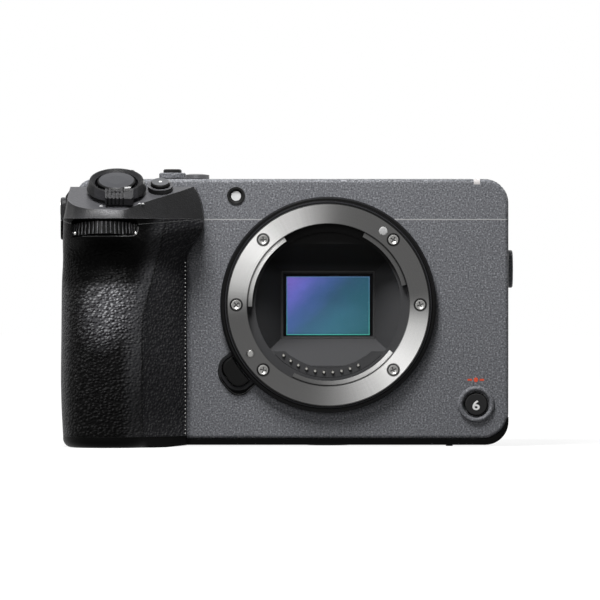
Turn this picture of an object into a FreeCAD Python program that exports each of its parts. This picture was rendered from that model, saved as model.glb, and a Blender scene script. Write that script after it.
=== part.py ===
"""Compact cinema camera body with a hand grip, shown without a lens.

Millimetres. +Z is up, the lens side faces -Y, and +X is to the right when the lens mount is seen
from the front. The origin is on the tripod socket's axis, in the plane that the camera stands on.
"""

import FreeCAD
import Part

import math
import os

V = FreeCAD.Vector

# Housing. The lens axis is at x = 0.
BODY_RIGHT = 52.4
BODY_LEFT = -73.2
GRIP_LEFT = -77.3
FRONT_Y = -24.0
REAR_Y = 27.0
FRONT_WRAP_Y = -19.0
REAR_SPLIT_Y = 20.5
BASE_Z = 0.5
COVER_LOW_Z = 2.2
WALL = 1.8
CORNER_R = 7.0
COVER_CORNER_R = 7.7
LEFT_SHOULDER_R = 5.0
EDGE_R = 1.2
GAP = 0.1
RUNNING = 0.3
FIT = 0.05
BUTTON_FIT = 0.15
STEM_FIT = 0.2

# Reach of a cutter past a face, through a wall, and past the whole camera.
OVER = 1.0
THROUGH = 9.0
FAR = 99.0
TINY = 0.01

# The battery stands in the grip. The front dial lies above it, the covers part above
# the dial, and the head rises from there to the top.
BATTERY_SIZE = (22.7, 38.7, 51.7)
BATTERY_RIGHT = -49.9
BATTERY_CORNER = (BATTERY_RIGHT - BATTERY_SIZE[0], -33.5, 4.6)
BATTERY_GAP = 0.4
BATTERY_CORNER_R = 1.5
DIAL_RISE = 5.5
DIAL_COVER = 4.2
HEAD_HEIGHT = 11.8
FRONT_DIAL_Z = BATTERY_CORNER[2] + BATTERY_SIZE[2] + DIAL_RISE
PARTING_Z = FRONT_DIAL_Z + DIAL_COVER
TOP_Z = PARTING_Z + HEAD_HEIGHT

# Lens mount.
LENS_Z = 41.2
FLANGE_Y = -27.5
RING_R = 29.4
THROAT_R = 23.6
RING_THICK = 2.9
LIP_THICK = 1.2
UNDERCUT = 0.45
CLAW_R = 22.1
CLAW_GROOVE = 0.35
CLAW_THICK = 1.4
CLAW_ROOT = 0.2
CLAWS = ((123.2, 181.3), (14.5, 63.2), (243.4, 323.5))
COLLAR_WIDTH = 1.9
COLLAR_INNER_R = RING_R + GAP
COLLAR_R = COLLAR_INNER_R + COLLAR_WIDTH
COLLAR_PROUD = 3.1
COLLAR_RIM = (0.5, 0.8)
COLLAR_STEP = 0.6
COLLAR_BEVEL = (0.55, 1.3)
COLLAR_SPIGOT = 0.45
COLLAR_SPIGOT_R = COLLAR_INNER_R + COLLAR_SPIGOT
COLLAR_OVERLAP = 0.2
SCREW_CIRCLE_R = 26.7
SCREW_ANGLES = (0, 45, 135, 180, 225, 315)
MOUNT_SCREW_HEAD_R = 1.6
MOUNT_SCREW_SHANK_R = 0.95
MOUNT_SCREW_LENGTH = 6.0
MOUNT_SCREW_SINK = (0.15, 0.95)
MOUNT_SCREW_HEAD_FIT = 0.25
LOCK_PIN_ANGLE = 212.0
LOCK_PIN_R = 1.05
LOCK_PIN_PROUD = 0.8
LOCK_PIN_TAIL = 3.0
LOCK_PIN_BEVEL = 0.3
RELEASE_TRAVEL = 1.2
INDEX_ANGLE = 53.3
INDEX_R = 1.35
INDEX_DEPTH = 0.15

# Lens release button, in a lobe of the collar.
LOBE_ANGLE = 216.0
LOBE_LENGTH = 6.1
LOBE_REACH = COLLAR_R + LOBE_LENGTH
LOBE_HALF = 5.6
LOBE_RIM = 0.9
LOBE_PROUD = 1.2
LOBE_CORNER_R = 4.3
LOBE_ROOT = (1.0, 1.5)
RELEASE_PROUD = 1.9
RELEASE_EDGE_R = 0.5
RELEASE_BAR_HALF = (1.5, 2.6)
RELEASE_BAR_TAIL = 1.6

# Mount chamber, contacts and sensor.
BAFFLE_R = 25.2
BAFFLE_LIP_R = 21.2
BAFFLE_LIP = 1.0
BAFFLE_WALL = 1.6
BAFFLE_Y = (-24.4, -12.5)
CHAMBER_HALF = (22.0, 17.7)
FRAME_HALF = (13.8, 9.9)
FRAME_RIM = 0.75
FRAME_STEP = 0.7
CONTACT_R = (18.4, 21.1)
CONTACT_TOP = -13.5
CONTACT_DEPTH = 4.0
CONTACT_SINK = 0.5
CONTACT_PIN_CIRCLE_R = 19.6
CONTACT_PIN_R = 0.5
CONTACT_PIN_PROUD = 0.55
CONTACT_PIN_TIP = 0.6
CONTACT_PIN_COUNT = 10
CONTACT_PIN_FIRST = 228.6
CONTACT_PIN_PITCH = 7.54
SENSOR_FACE_Y = -10.0
SENSOR_HALF = (14.3, 10.4)
SENSOR_THICK = 1.8
SENSOR_GLASS_HALF = (12.2, 8.6)
SENSOR_GLASS_THICK = 0.7
CARRIER_HALF = (19.0, 15.0)
CARRIER_THICK = 2.6
CARRIER_BEVEL = 3.0
COIL_POCKET_HALF = (1.2, 7.0)
COIL_POCKET_DEPTH = 1.2
COIL_POCKET_SPACE = 2.3
YOKE_HALF = (23.0, 18.5)
YOKE_THICK = 1.8
YOKE_BAR = (7.0, 6.0)
STAGE_PLATE_THICK = 1.5

# Grip, as plan sections at rising heights: z, left x, start of the front corner,
# crown x, front y, crease x, crease y, inner x, inner y. The upper ones keep their
# distance to the parting line.
GRIP_DROPS = (16.0, 11.0, 7.5, 4.5)
DECK_RISES = (3.5, 7.0, 10.5)
GRIP_SECTIONS = (
    (3.2, -76.8, -31.0, -64.0, -46.8, -53.6, -42.6, -41.2, -27.0),
    (14.0, -77.3, -32.0, -64.0, -48.6, -53.8, -44.4, -41.2, -27.0),
    (30.0, -77.3, -32.0, -63.5, -49.4, -53.1, -44.9, -41.2, -27.0),
    (42.0, -77.2, -32.0, -63.2, -48.0, -52.2, -43.0, -41.2, -27.0),
    (PARTING_Z - GRIP_DROPS[0], -77.0, -32.0, -63.2, -45.2, -50.4, -39.6, -41.2, -27.0),
    (PARTING_Z - GRIP_DROPS[1], -76.8, -32.0, -63.4, -44.4, -49.6, -38.6, -41.0, -27.2),
    (PARTING_Z - GRIP_DROPS[2], -76.8, -34.0, -64.0, -47.4, -52.0, -43.6, -39.2, -29.6),
    (PARTING_Z - GRIP_DROPS[3], -76.6, -37.5, -65.2, -50.2, -55.6, -47.6, -37.0, -32.6),
    (PARTING_Z, -76.5, -39.0, -66.4, -50.7, -57.0, -48.8, -36.4, -34.2),
)
DECK_SECTIONS = (
    (PARTING_Z, -76.5, -39.0, -66.4, -50.7, -57.0, -48.8, -36.4, -34.2),
    (PARTING_Z + DECK_RISES[0], -75.6, -41.0, -67.4, -48.2, -57.0, -47.8, -36.6, -34.4),
    (PARTING_Z + DECK_RISES[1], -75.0, -41.5, -67.8, -47.4, -57.0, -47.2, -37.6, -34.9),
    (PARTING_Z + DECK_RISES[2], -74.2, -41.5, -68.0, -46.8, -57.0, -46.8, -39.6, -35.6),
)
SEAT_GAP = 0.02
GRIP_ROUND = 0.6
GRIP_CREASE_PULL = (1.6, 1.9)
GRIP_FLANK = ((0.3, 0.36), (0.75, 0.7))
GRIP_INNER_STEP = 0.2
FOOT_HEIGHT = 3.2
FOOT_EDGE_R = 2.6
FOOT_SLOPE = ((-47.0, 0.0), (-41.0, BASE_Z))
DECK_SLOPE = 27.0
DECK_LIP = 3.0
DECK_DROP = 2.5
SHOULDER_DROP = 5.0
DECK_FRONT = (-48.0, PARTING_Z + DECK_LIP)
DECK_TOP_Z = TOP_Z - DECK_DROP
SHOULDER_SIDE_X = -76.3
SHOULDER_BREAK = (SHOULDER_SIDE_X, TOP_Z - SHOULDER_DROP)
SHOULDER_CREST = (-74.6, DECK_TOP_Z)

# Controls on the sloping deck, placed along the deck from its zoom lever axis.
LEVER_X = -61.1
LEVER_UP_SLOPE = 10.1
LEVER_R = (8.6, 7.75)
LEVER_HEIGHT = 3.3
LEVER_INNER_R = 6.3
LEVER_BOWL_R = 7.35
LEVER_BOWL_DEPTH = 0.8
LEVER_TAB_X = (-3.1, 5.0)
LEVER_TAB_R = 9.9
LEVER_TAB_ROOT = 0.3
LEVER_TAB_RISE = 0.35
LEVER_TAB_FACE = 2.1
LEVER_TAB_CORNER_R = 0.8
LEVER_LOW_BEVEL = (0.3, 0.6)
LEVER_GROOVES = 5
LEVER_GROOVE_ZONE = 0.68
LEVER_GROOVE_START = 0.7
LEVER_GROOVE_DEPTH = 0.55
LEVER_GROOVE_SHARE = 0.45
PEDESTAL_R = 7.4
PEDESTAL_HEIGHT = 0.5
PEDESTAL_ROOT = 4.0
SHUTTER_R = 5.45
SHUTTER_HEIGHT = 2.5
SHUTTER_CROWN = (0.12, 0.4)
SHUTTER_STEM_R = 2.0
SHUTTER_STEM_DROP = 1.6
SHUTTER_WELL = 3.4
SHUTTER_TRAVEL = 0.8
DECK_BUTTON_AT = (12.6, 1.9)
DECK_BUTTON_R = 2.75
DECK_COLLAR_R = 3.65
DECK_COLLAR_HEIGHT = 1.5
DECK_COLLAR_ROOT = 2.5
DECK_BUTTON_TOP = 2.6
DECK_BUTTON_DROP = 1.0
DECK_BUTTON_WELL = 2.0
BUTTON_TRAVEL = 0.6
CAP_BEVEL = 0.3

# Dials. Each is a knurled disc that shows through a slot.
DIAL_R = 10.0
DIAL_THICK = 3.6
DIAL_TEETH = 50
DIAL_TOOTH = 0.55
TOOTH_ROOT = 0.32
TOOTH_TIP = 0.15
FRONT_DIAL_AT = (-64.4, -40.9, FRONT_DIAL_Z)
FRONT_DIAL_TILT = 10.0
FRONT_WINDOW_X = (-73.8, -55.0)
FRONT_WINDOW_RIM = 0.25
FRONT_WINDOW_Z = (FRONT_DIAL_Z - GAP, PARTING_Z - FRONT_WINDOW_RIM)
FRONT_WINDOW_BACK_Y = -43.5
FRONT_WINDOW_CORNER_R = 1.0
REAR_DIAL_R = 8.5
REAR_DIAL_TEETH = 42
REAR_DIAL_DROP = 6.8
REAR_DIAL_AT = (-62.0, 19.9, TOP_Z - REAR_DIAL_DROP)
REAR_WINDOW_HALF = 6.2
AXLE_R = 1.5
AXLE_FIT = 0.1
FRONT_AXLE_ENDS = 1.3
REAR_AXLE_ENDS = 2.0
DIAL_SIDE_GAP = 0.3
DIAL_RIM_GAP = 0.4

# Top plate.
TOP_BUTTONS = ((-59.5, 1.0), (-45.5, -10.0))
TOP_BUTTON_R = 2.67
TOP_BUTTON_PROUD = 3.05
BUTTON_RING_R = 3.9
BUTTON_RING_HEIGHT = 2.0
BUTTON_RING_NECK = 0.55
STEM_R = 1.3
STEM_DROP = 3.4
POWER_AT = (-38.7, 3.0)
POWER_R = 3.8
POWER_HEIGHT = 1.9
POWER_LEVER_REACH = 6.2
POWER_LEVER_HALF = 1.3
POWER_LEVER_ROUND = 0.7
THREAD_R = 3.175
THREAD_DEPTH = 6.0
THREAD_FLOOR = 1.0
INSERT_R = 4.9
TOP_THREADS = ((-22.0, -12.0), (22.0, -12.0), (38.0, 12.0))
SIDE_THREAD_AT = (-9.0, 51.7)
SIDE_BOSS_R = 5.5
SIDE_BOSS_PROUD = 1.6
SIDE_BOSS_EDGE_R = 0.5
SHOE_HALF = 11.4
SHOE_SLOT_HALF = 9.35
SHOE_THROAT_HALF = 6.3
SHOE_FRONT_Y = 6.0
SHOE_DEPTH = 3.2
SHOE_FLOOR_Z = TOP_Z - SHOE_DEPTH
SHOE_SLOT_HEIGHT = 2.0
SHOE_FLOOR_THICK = 0.8
LUG_Y = (-2.0, 9.0)
LUG_RISE = 1.5
LUG_HEIGHT = 4.6
LUG_Z = (PARTING_Z + LUG_RISE, PARTING_Z + LUG_RISE + LUG_HEIGHT)
LUG_THICK = 1.0
LUG_CORNER_R = 2.2
LUG_SLOT = (7.0, 1.8)
LUG_SLOT_R = 0.8
LUG_POCKET = 2.2
LUG_RIM = 1.2
LUG_BED = 1.1
LUG_BOSS_FACE_X = -78.5
LUG_BOSS_ROOT = 2.4
LUG_BOSS_SIDE = 1.9
LUG_BOSS_DROP = 5.7
LUG_BOSS_CORNER_R = 2.6
LUG_BOSS_EDGE_R = 0.5
LUG_PROUD = 0.15
LAMP_X = (42.3, 44.1)
LAMP_DROP = 1.6
LAMP_RUN = 4.0
WINDOW_DROP = 4.95
WINDOW_AT = (-26.8, TOP_Z - WINDOW_DROP)
BEZEL_R = 2.6
WINDOW_R = 1.42
WINDOW_SINK = 0.45
BEZEL_RIM = 0.5
BEZEL_PROUD = 0.25

# Front record button.
REC_AT = (43.0, 12.3)
REC_RING_R = (3.9, 5.3)
REC_RING_PROUD = 0.9
REC_RING_SIDE = 0.3
REC_RING_CREST = 0.45
REC_RING_FOOT = 0.2
REC_BUTTON_PROUD = 0.45
REC_BUTTON_R = 3.25
REC_FLANGE_R = 3.7
REC_FLANGE_THICK = 0.7

# Base and battery.
BASE_CORNER_R = 6.8
BASE_WRAP_TOP = 8.6
SOCKET_PAD_R = 6.2
SOCKET_INSERT_R = 5.2
FOOT_NUB_R = 1.0
FOOT_NUBS = ((35.4, -14.0), (35.4, 14.0))
DOOR_THICK = 1.6
DOOR_MARGIN = 0.8
DOOR_GAP = 0.2
HINGE_PIN_R = 0.5
HINGE_PIN_LENGTH = 0.8
LATCH_SIZE = (12.0, 6.0)
LATCH_TRAVEL = 2.0
LATCH_INSET = 1.2
LATCH_Z = (0.05, 0.6)
LATCH_TONGUE_HALF = 2.5
LATCH_TONGUE_THICK = 0.5
LATCH_REACH = 1.0
LATCH_GROOVE = (1.2, 0.5, 0.15)
CASE_SCREWS = ((-38.0, -21.2), (42.0, -21.2), (-40.0, 22.8), (40.0, 22.8))
CASE_SCREW_HEAD_R = 1.4
CASE_SCREW_HEAD = 0.6
CASE_SCREW_R = 0.75

# Side doors: y range and z range of each.
PORT_DOOR_THICK = 1.6
NAIL_NOTCH = (0.8, 5.0)
CARD_DOOR_Y = (5.6, 19.6)
CARD_DOOR_Z = (22.0, 53.0)
CARD_DOOR_THICK = 2.3
CARD_LEDGE = 1.6
CARD_WELL_DEPTH = 5.4
PORT_DOOR_Y = (-17.0, 1.4)
AUDIO_DOOR_Z = (34.6, 44.0)
HDMI_DOOR_Z = (20.6, 32.2)
USB_DOOR_Z = (9.4, 18.2)
PORT_ZONE = ((-18.9, 3.0), (6.4, 45.6))
PORT_ZONE_THICK = 3.2
JACK_R = 1.75
JACK_DEPTH = 12.0
JACK_Y = (-12.8, -4.6)
HDMI_CAVITY = (14.4, 5.0)
USB_CAVITY = (8.5, 2.8)
SOCKET_WALL = 0.8
SOCKET_DEPTH = 10.0
SOCKET_FLOOR = 1.0
SOCKET_TONGUE = (0.78, 0.25)
VENT_Y = (6.5, 17.5)
VENT_Z = (10.0, 58.0)
VENT_SLOTS = 12
VENT_SLOT_HEIGHT = 1.6

# Rear cover, monitor and rear controls.
MONITOR_X = (-27.0, 44.0)
MONITOR_DROP = 3.6
MONITOR_Z = (7.0, PARTING_Z - MONITOR_DROP)
MONITOR_Y = (24.4, 33.0)
MONITOR_CORNER_R = 2.4
MONITOR_EDGE_R = 0.6
MONITOR_RIM = 1.3
MONITOR_GLASS_THICK = 0.9
HINGE_AXIS = (48.7, 29.2)
HINGE_R = 3.3
HINGE_Z = (20.0, 49.0)
HINGE_CORE_R = 1.2
HINGE_POST_R = 3.0
HINGE_POST_HEIGHT = 5.0
WEB_Y = (1.5, 1.8)
BAY_GAP = 0.4
BAY_BACK_GAP = 0.2
BAY_SIDE = (2.5, 3.5)
THUMB_X = (-77.3, -57.5)
THUMB_DROPS = (29.0, 3.0)
THUMB_Z = (PARTING_Z - THUMB_DROPS[0], PARTING_Z - THUMB_DROPS[1])
THUMB_PROUD = 5.4
THUMB_CROWN = 0.38
THUMB_START = 2.6
THUMB_END = 0.5
THUMB_ROOT = (4.0, 1.6)
THUMB_EDGE_R = 2.0
JOYSTICK_DROP = 10.5
JOYSTICK_AT = (-38.5, PARTING_Z - JOYSTICK_DROP)
JOYSTICK_R = 3.4
JOYSTICK_PROUD = 2.6
JOYSTICK_CROWN = (0.9, 0.75)
JOYSTICK_STEM_R = 1.2
JOYSTICK_WAIST = 0.4
JOYSTICK_SWING = 1.2
GIMBAL_R = (2.2, 4.4)
GIMBAL_THICK = 1.2
GIMBAL_PIN_R = 0.4
GIMBAL_PIN_FIT = 0.08
GIMBAL_BLOCK = (1.6, 1.2)
WHEEL_AT = (-48.0, 29.5)
WHEEL_R = 10.0
WHEEL_INNER_R = 5.4
WHEEL_PROUD = 1.5
WHEEL_SINK = 1.0
WHEEL_STEM_R = 3.8
WHEEL_NOTCHES = 24
WHEEL_NOTCH = (0.45, 0.9)
WHEEL_BEVEL = 0.8
WHEEL_BUTTON_SINK = 0.5
WHEEL_BUTTON_R = 5.1
REAR_BUTTON_R = 2.7
REAR_BUTTON_PROUD = 1.1
REAR_FLANGE = (0.7, 0.8)
MENU_DROP = 21.5
FUNCTION_DROP = 20.0
REAR_BUTTONS = {
    "menu_button": (-36.5, PARTING_Z - MENU_DROP),
    "function_button": (-51.5, PARTING_Z - FUNCTION_DROP),
    "playback_button": (-38.0, 13.0),
    "delete_button": (-56.0, 13.0),
}

# Inside.
CHASSIS_PLATE_HALF = 33.0
CHASSIS_PLATE_THICK = 2.0
CHASSIS_Z = (5.0, TOP_Z - WALL)
CHASSIS_ARM = 2.0
BOARD_X = (-42.0, 47.0)
BOARD_Z = (7.0, 62.0)
BOARD_Y = 0.4
BOARD_THICK = 1.2
BOARD_POST_R = 2.0
BOARD_POSTS = ((-28.0, 27.0), (28.0, 27.0), (-28.0, 56.0), (28.0, 56.0))
CHIP_AT = (-4.0, LENS_Z)
CHIP_HALF = 9.0
CHIP_THICK = 1.2
SINK_X = (-24.0, 14.0)
SINK_Z = (24.0, 60.0)
SINK_THICK = 1.6
SINK_FINS = 9
SINK_FIN_HEIGHT = 3.0
SINK_FIN_THICK = 1.0
FAN_AT = (31.0, 24.0)
FAN_R = 11.0
FAN_HEIGHT = 6.0
FAN_BLADES = 9
FAN_HUB_R = 4.2
FAN_WALL = 1.2
FAN_PIN_R = 0.9
FAN_BLADE_LEAN = 35.0
FAN_BLADE_ROOT = 0.4
FAN_BLADE_THICK = 0.7
FAN_INTAKE = 0.8


def box(x, y, z):
    """Box between two values along each axis, given in either order."""
    lows = [min(pair) for pair in (x, y, z)]
    sizes = [abs(pair[1] - pair[0]) for pair in (x, y, z)]
    return Part.makeBox(*sizes, V(*lows))


def cylinder(radius, start, end):
    """Cylinder of a radius from one point to another."""
    run = V(*end) - V(*start)
    return Part.makeCylinder(radius, run.Length, V(*start), run)


def along_edges(shape, direction):
    """Straight edges of a shape that run along a direction."""
    straight = [e for e in shape.Edges if e.Curve.TypeId == "Part::GeomLine"]
    return [e for e in straight if abs(e.Curve.Direction * direction) > 1 - TINY * TINY]


def rounded_box(x, y, z, axis, radius):
    """Box with its four edges along an axis rounded."""
    plain = box(x, y, z)
    return plain.makeFillet(radius, along_edges(plain, axis))


X_AXIS = V(1, 0, 0)
Y_AXIS = V(0, 1, 0)
Z_AXIS = V(0, 0, 1)


def tube_y(outer, inner, y, x=0.0, z=LENS_Z):
    """Ring around a line along Y."""
    solid = cylinder(outer, (x, y[0], z), (x, y[1], z))
    return solid.cut(cylinder(inner, (x, y[0] - OVER, z), (x, y[1] + OVER, z)))


def on_circle(radius, degrees, y):
    """Point around the lens axis; degrees run counter-clockwise from +X, seen from the front."""
    a = math.radians(degrees)
    return (radius * math.cos(a), y, LENS_Z + radius * math.sin(a))


def lens_cylinder(radius, start_y, end_y):
    """Cylinder around the lens axis between two depths."""
    return cylinder(radius, (0, start_y, LENS_Z), (0, end_y, LENS_Z))


def revolved_y(profile, x=0.0, z=LENS_Z):
    """Solid of revolution about a line along Y, from (radius, y) corners."""
    corners = [V(x + r, y, z) for r, y in profile]
    face = Part.Face(Part.makePolygon(corners + corners[:1]))
    return face.revolve(V(x, 0, z), Y_AXIS, 360)


def revolved_z(profile, x=0.0, y=0.0):
    """Solid of revolution about a line along Z, from (radius, z) corners."""
    corners = [V(x + r, y, z) for r, z in profile]
    face = Part.Face(Part.makePolygon(corners + corners[:1]))
    return face.revolve(V(x, y, 0), Z_AXIS, 360)


def sector(degrees, reach, y):
    """Pie slice around the lens axis between two angles."""
    start, end = degrees
    steps = 4
    points = [V(0, y[0], LENS_Z)]
    for k in range(steps + 1):
        points.append(V(*on_circle(reach, start + (end - start) * k / steps, y[0])))
    face = Part.Face(Part.makePolygon(points + points[:1]))
    return face.extrude(V(0, y[1] - y[0], 0))


# Lens mount

RING_BACK_Y = FLANGE_Y + RING_THICK
LIP_BACK_Y = FLANGE_Y + LIP_THICK


def bayonet_claw(degrees):
    """One inward claw, tied to the ring by a web behind a narrow groove."""
    front = LIP_BACK_Y
    back = front + CLAW_THICK
    outer = THROAT_R + UNDERCUT + CLAW_ROOT
    claw = tube_y(outer, CLAW_R, (front, back))
    groove = tube_y(outer + OVER, THROAT_R - CLAW_GROOVE, (front - OVER, front + CLAW_THICK / 2))
    return claw.cut(groove).common(sector(degrees, RING_R * 2, (front - OVER, back + OVER)))


def bayonet_ring():
    ring = tube_y(RING_R, THROAT_R, (FLANGE_Y, LIP_BACK_Y))
    ring = ring.fuse(tube_y(RING_R, THROAT_R + UNDERCUT, (LIP_BACK_Y, RING_BACK_Y)))
    for claw in CLAWS:
        ring = ring.fuse(bayonet_claw(claw))
    ring = ring.removeSplitter()
    for angle in SCREW_ANGLES:
        head_end = on_circle(SCREW_CIRCLE_R, angle, FLANGE_Y + MOUNT_SCREW_SINK[1])
        front = on_circle(SCREW_CIRCLE_R, angle, FLANGE_Y - OVER)
        back = on_circle(SCREW_CIRCLE_R, angle, RING_BACK_Y + OVER)
        ring = ring.cut(cylinder(MOUNT_SCREW_HEAD_R + MOUNT_SCREW_HEAD_FIT, front, head_end))
        ring = ring.cut(cylinder(MOUNT_SCREW_SHANK_R + GAP, front, back))
    ring = ring.cut(lock_pin_bore(FLANGE_Y - OVER, RING_BACK_Y + OVER))
    dimple = cylinder(
        INDEX_R,
        on_circle(SCREW_CIRCLE_R, INDEX_ANGLE, FLANGE_Y - OVER),
        on_circle(SCREW_CIRCLE_R, INDEX_ANGLE, FLANGE_Y + INDEX_DEPTH),
    )
    return ring.cut(dimple)


def lock_pin_bore(front, back):
    at = [on_circle(SCREW_CIRCLE_R, LOCK_PIN_ANGLE, y) for y in (front, back)]
    return cylinder(LOCK_PIN_R + GAP, *at)


def mount_screws():
    """Screws with the ring's recess depth, ending in the chassis boss."""
    screws = []
    top, seat = (FLANGE_Y + sink for sink in MOUNT_SCREW_SINK)
    for angle in SCREW_ANGLES:
        head = cylinder(
            MOUNT_SCREW_HEAD_R,
            on_circle(SCREW_CIRCLE_R, angle, top),
            on_circle(SCREW_CIRCLE_R, angle, seat),
        )
        shank = cylinder(
            MOUNT_SCREW_SHANK_R,
            on_circle(SCREW_CIRCLE_R, angle, seat),
            on_circle(SCREW_CIRCLE_R, angle, seat + MOUNT_SCREW_LENGTH),
        )
        screws.append(head.fuse(shank))
    return Part.makeCompound(screws)


def lock_pin():
    front = on_circle(SCREW_CIRCLE_R, LOCK_PIN_ANGLE, FLANGE_Y - LOCK_PIN_PROUD)
    back = on_circle(SCREW_CIRCLE_R, LOCK_PIN_ANGLE, RING_BACK_Y + LOCK_PIN_TAIL)
    pin = cylinder(LOCK_PIN_R, front, back)
    tip = [e for e in pin.Edges if e.BoundBox.YMax < FLANGE_Y - LOCK_PIN_PROUD + TINY]
    return pin.makeChamfer(LOCK_PIN_BEVEL, tip)


def lobe_prism(inset, near, y):
    """Rounded tongue that points from the lens axis along the lobe, between two depths."""
    reach = LOBE_REACH - inset
    half = LOBE_HALF - inset
    prism = box((near, reach), y, (-half, half))
    ends = [e for e in along_edges(prism, Y_AXIS) if e.BoundBox.XMin > near + TINY]
    prism = prism.makeFillet(LOBE_CORNER_R - inset, ends)
    prism.rotate(V(0, 0, 0), Y_AXIS, -LOBE_ANGLE)
    prism.translate(V(0, 0, LENS_Z))
    return prism


COLLAR_FRONT_Y = FRONT_Y - COLLAR_PROUD
COLLAR_SPIGOT_Y = FRONT_Y + WALL - GAP


def mount_collar():
    profile = (
        (COLLAR_INNER_R, COLLAR_SPIGOT_Y),
        (COLLAR_INNER_R, COLLAR_FRONT_Y),
        (COLLAR_INNER_R + COLLAR_RIM[0], COLLAR_FRONT_Y),
        (COLLAR_INNER_R + COLLAR_RIM[1], COLLAR_FRONT_Y + COLLAR_STEP),
        (COLLAR_R - COLLAR_BEVEL[0], COLLAR_FRONT_Y + COLLAR_STEP),
        (COLLAR_R, COLLAR_FRONT_Y + COLLAR_BEVEL[1]),
        (COLLAR_R, FRONT_Y),
        (COLLAR_SPIGOT_R, FRONT_Y),
        (COLLAR_SPIGOT_R, COLLAR_SPIGOT_Y),
    )
    collar = revolved_y(profile)
    lobe = lobe_prism(0.0, COLLAR_R - LOBE_ROOT[0], (FRONT_Y - LOBE_PROUD, FRONT_Y))
    pocket = lobe_prism(LOBE_RIM, COLLAR_R - LOBE_ROOT[1], (FRONT_Y - LOBE_PROUD - OVER, FRONT_Y + OVER))
    collar_wall = lens_cylinder(COLLAR_R, FRONT_Y - THROUGH, FRONT_Y + OVER)
    return collar.fuse(lobe.cut(pocket.cut(collar_wall)).cut(collar_core())).removeSplitter()


def collar_core():
    return lens_cylinder(COLLAR_R - COLLAR_OVERLAP, FRONT_Y - THROUGH, FRONT_Y + OVER)


def release_button():
    """Tongue that fills the lobe's pocket, with a round stem through the front cover."""
    front_y = FRONT_Y - RELEASE_PROUD
    face = lobe_prism(LOBE_RIM + RUNNING, COLLAR_R - LOBE_ROOT[1], (front_y, FRONT_Y))
    clear = lens_cylinder(COLLAR_R + RUNNING, FRONT_Y - THROUGH, FRONT_Y + THROUGH)
    face = face.cut(clear)
    front_edges = [e for e in face.Edges if e.BoundBox.YMax < front_y + TINY]
    face = face.makeFillet(RELEASE_EDGE_R, front_edges)
    stem = release_stem(0.0, FRONT_Y, FRONT_Y + WALL + RELEASE_BAR_TAIL)
    return face.fuse(stem).removeSplitter()


def release_stem(clearance, start_y, end_y):
    """The stem's bar, which is also the shape of the slot it slides in."""
    middle = (COLLAR_R + LOBE_REACH) / 2
    half_x, half_z = (half + clearance for half in RELEASE_BAR_HALF)
    bar = box((middle - half_x, middle + half_x), (start_y, end_y), (-half_z, half_z))
    bar.rotate(V(0, 0, 0), Y_AXIS, -LOBE_ANGLE)
    bar.translate(V(0, 0, LENS_Z))
    return bar


def release_recess():
    """Room in the front cover for the button's travel."""
    deep = FRONT_Y + RELEASE_TRAVEL + GAP
    recess = lobe_prism(LOBE_RIM, COLLAR_R - LOBE_ROOT[1], (FRONT_Y - OVER, deep))
    clear = lens_cylinder(COLLAR_R, FRONT_Y - THROUGH, FRONT_Y + THROUGH)
    return recess.cut(clear).fuse(release_stem(RUNNING, FRONT_Y - OVER, FRONT_Y + THROUGH))


# Mount chamber and contacts


def rect_wire(half_x, half_z, y):
    corners = [
        V(-half_x, y, LENS_Z - half_z),
        V(half_x, y, LENS_Z - half_z),
        V(half_x, y, LENS_Z + half_z),
        V(-half_x, y, LENS_Z + half_z),
    ]
    return Part.makePolygon(corners + corners[:1])


def contact_envelope(grow):
    """Crescent under the throat that carries the contacts; grow widens it into its seat."""
    front = BAFFLE_Y[0] + CONTACT_SINK - grow
    back = front + CONTACT_DEPTH + 2 * grow
    band = tube_y(CONTACT_R[1] + grow, CONTACT_R[0] - grow, (front, back))
    top = LENS_Z + CONTACT_TOP + grow
    return band.common(box((-FAR, FAR), (front - OVER, back + OVER), (0, top)))


def light_baffle():
    front, back = BAFFLE_Y
    step_y = back - FRAME_STEP
    lip_y = front + BAFFLE_LIP
    shell = lens_cylinder(BAFFLE_R, front, back)
    funnel = Part.makeLoft(
        [rect_wire(*CHAMBER_HALF, lip_y), rect_wire(*FRAME_HALF, step_y)], True, True
    )
    room = lens_cylinder(BAFFLE_R - BAFFLE_WALL, lip_y, step_y)
    mouth = lens_cylinder(BAFFLE_LIP_R, front - OVER, lip_y + TINY)
    half_x, half_z = (half - FRAME_RIM for half in FRAME_HALF)
    window = box((-half_x, half_x), (step_y - OVER, back + OVER), (LENS_Z - half_z, LENS_Z + half_z))
    shell = shell.cut(funnel.common(room)).cut(mouth).cut(window)
    return shell.cut(contact_envelope(FIT))


def contact_block():
    return contact_envelope(0.0)


def contact_pins():
    face_y = BAFFLE_Y[0] + CONTACT_SINK
    tip_y = face_y - CONTACT_PIN_PROUD
    pins = []
    for k in range(CONTACT_PIN_COUNT):
        angle = CONTACT_PIN_FIRST + CONTACT_PIN_PITCH * k
        x, _, z = on_circle(CONTACT_PIN_CIRCLE_R, angle, 0)
        profile = (
            (0, face_y),
            (0, tip_y),
            (CONTACT_PIN_R * CONTACT_PIN_TIP, tip_y),
            (CONTACT_PIN_R, (tip_y + face_y) / 2),
            (CONTACT_PIN_R, face_y),
        )
        pins.append(revolved_y(profile, x, z))
    return Part.makeCompound(pins)


# Sensor on its stabiliser

SENSOR_BACK_Y = SENSOR_FACE_Y + SENSOR_THICK
CARRIER_BACK_Y = SENSOR_BACK_Y + CARRIER_THICK
YOKE_FRONT_Y = CARRIER_BACK_Y + RUNNING
YOKE_BACK_Y = YOKE_FRONT_Y + YOKE_THICK
STAGE_FRONT_Y = YOKE_BACK_Y + RUNNING
STAGE_BACK_Y = STAGE_FRONT_Y + STAGE_PLATE_THICK


def lens_box(half, y):
    return box((-half[0], half[0]), y, (LENS_Z - half[1], LENS_Z + half[1]))


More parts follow.
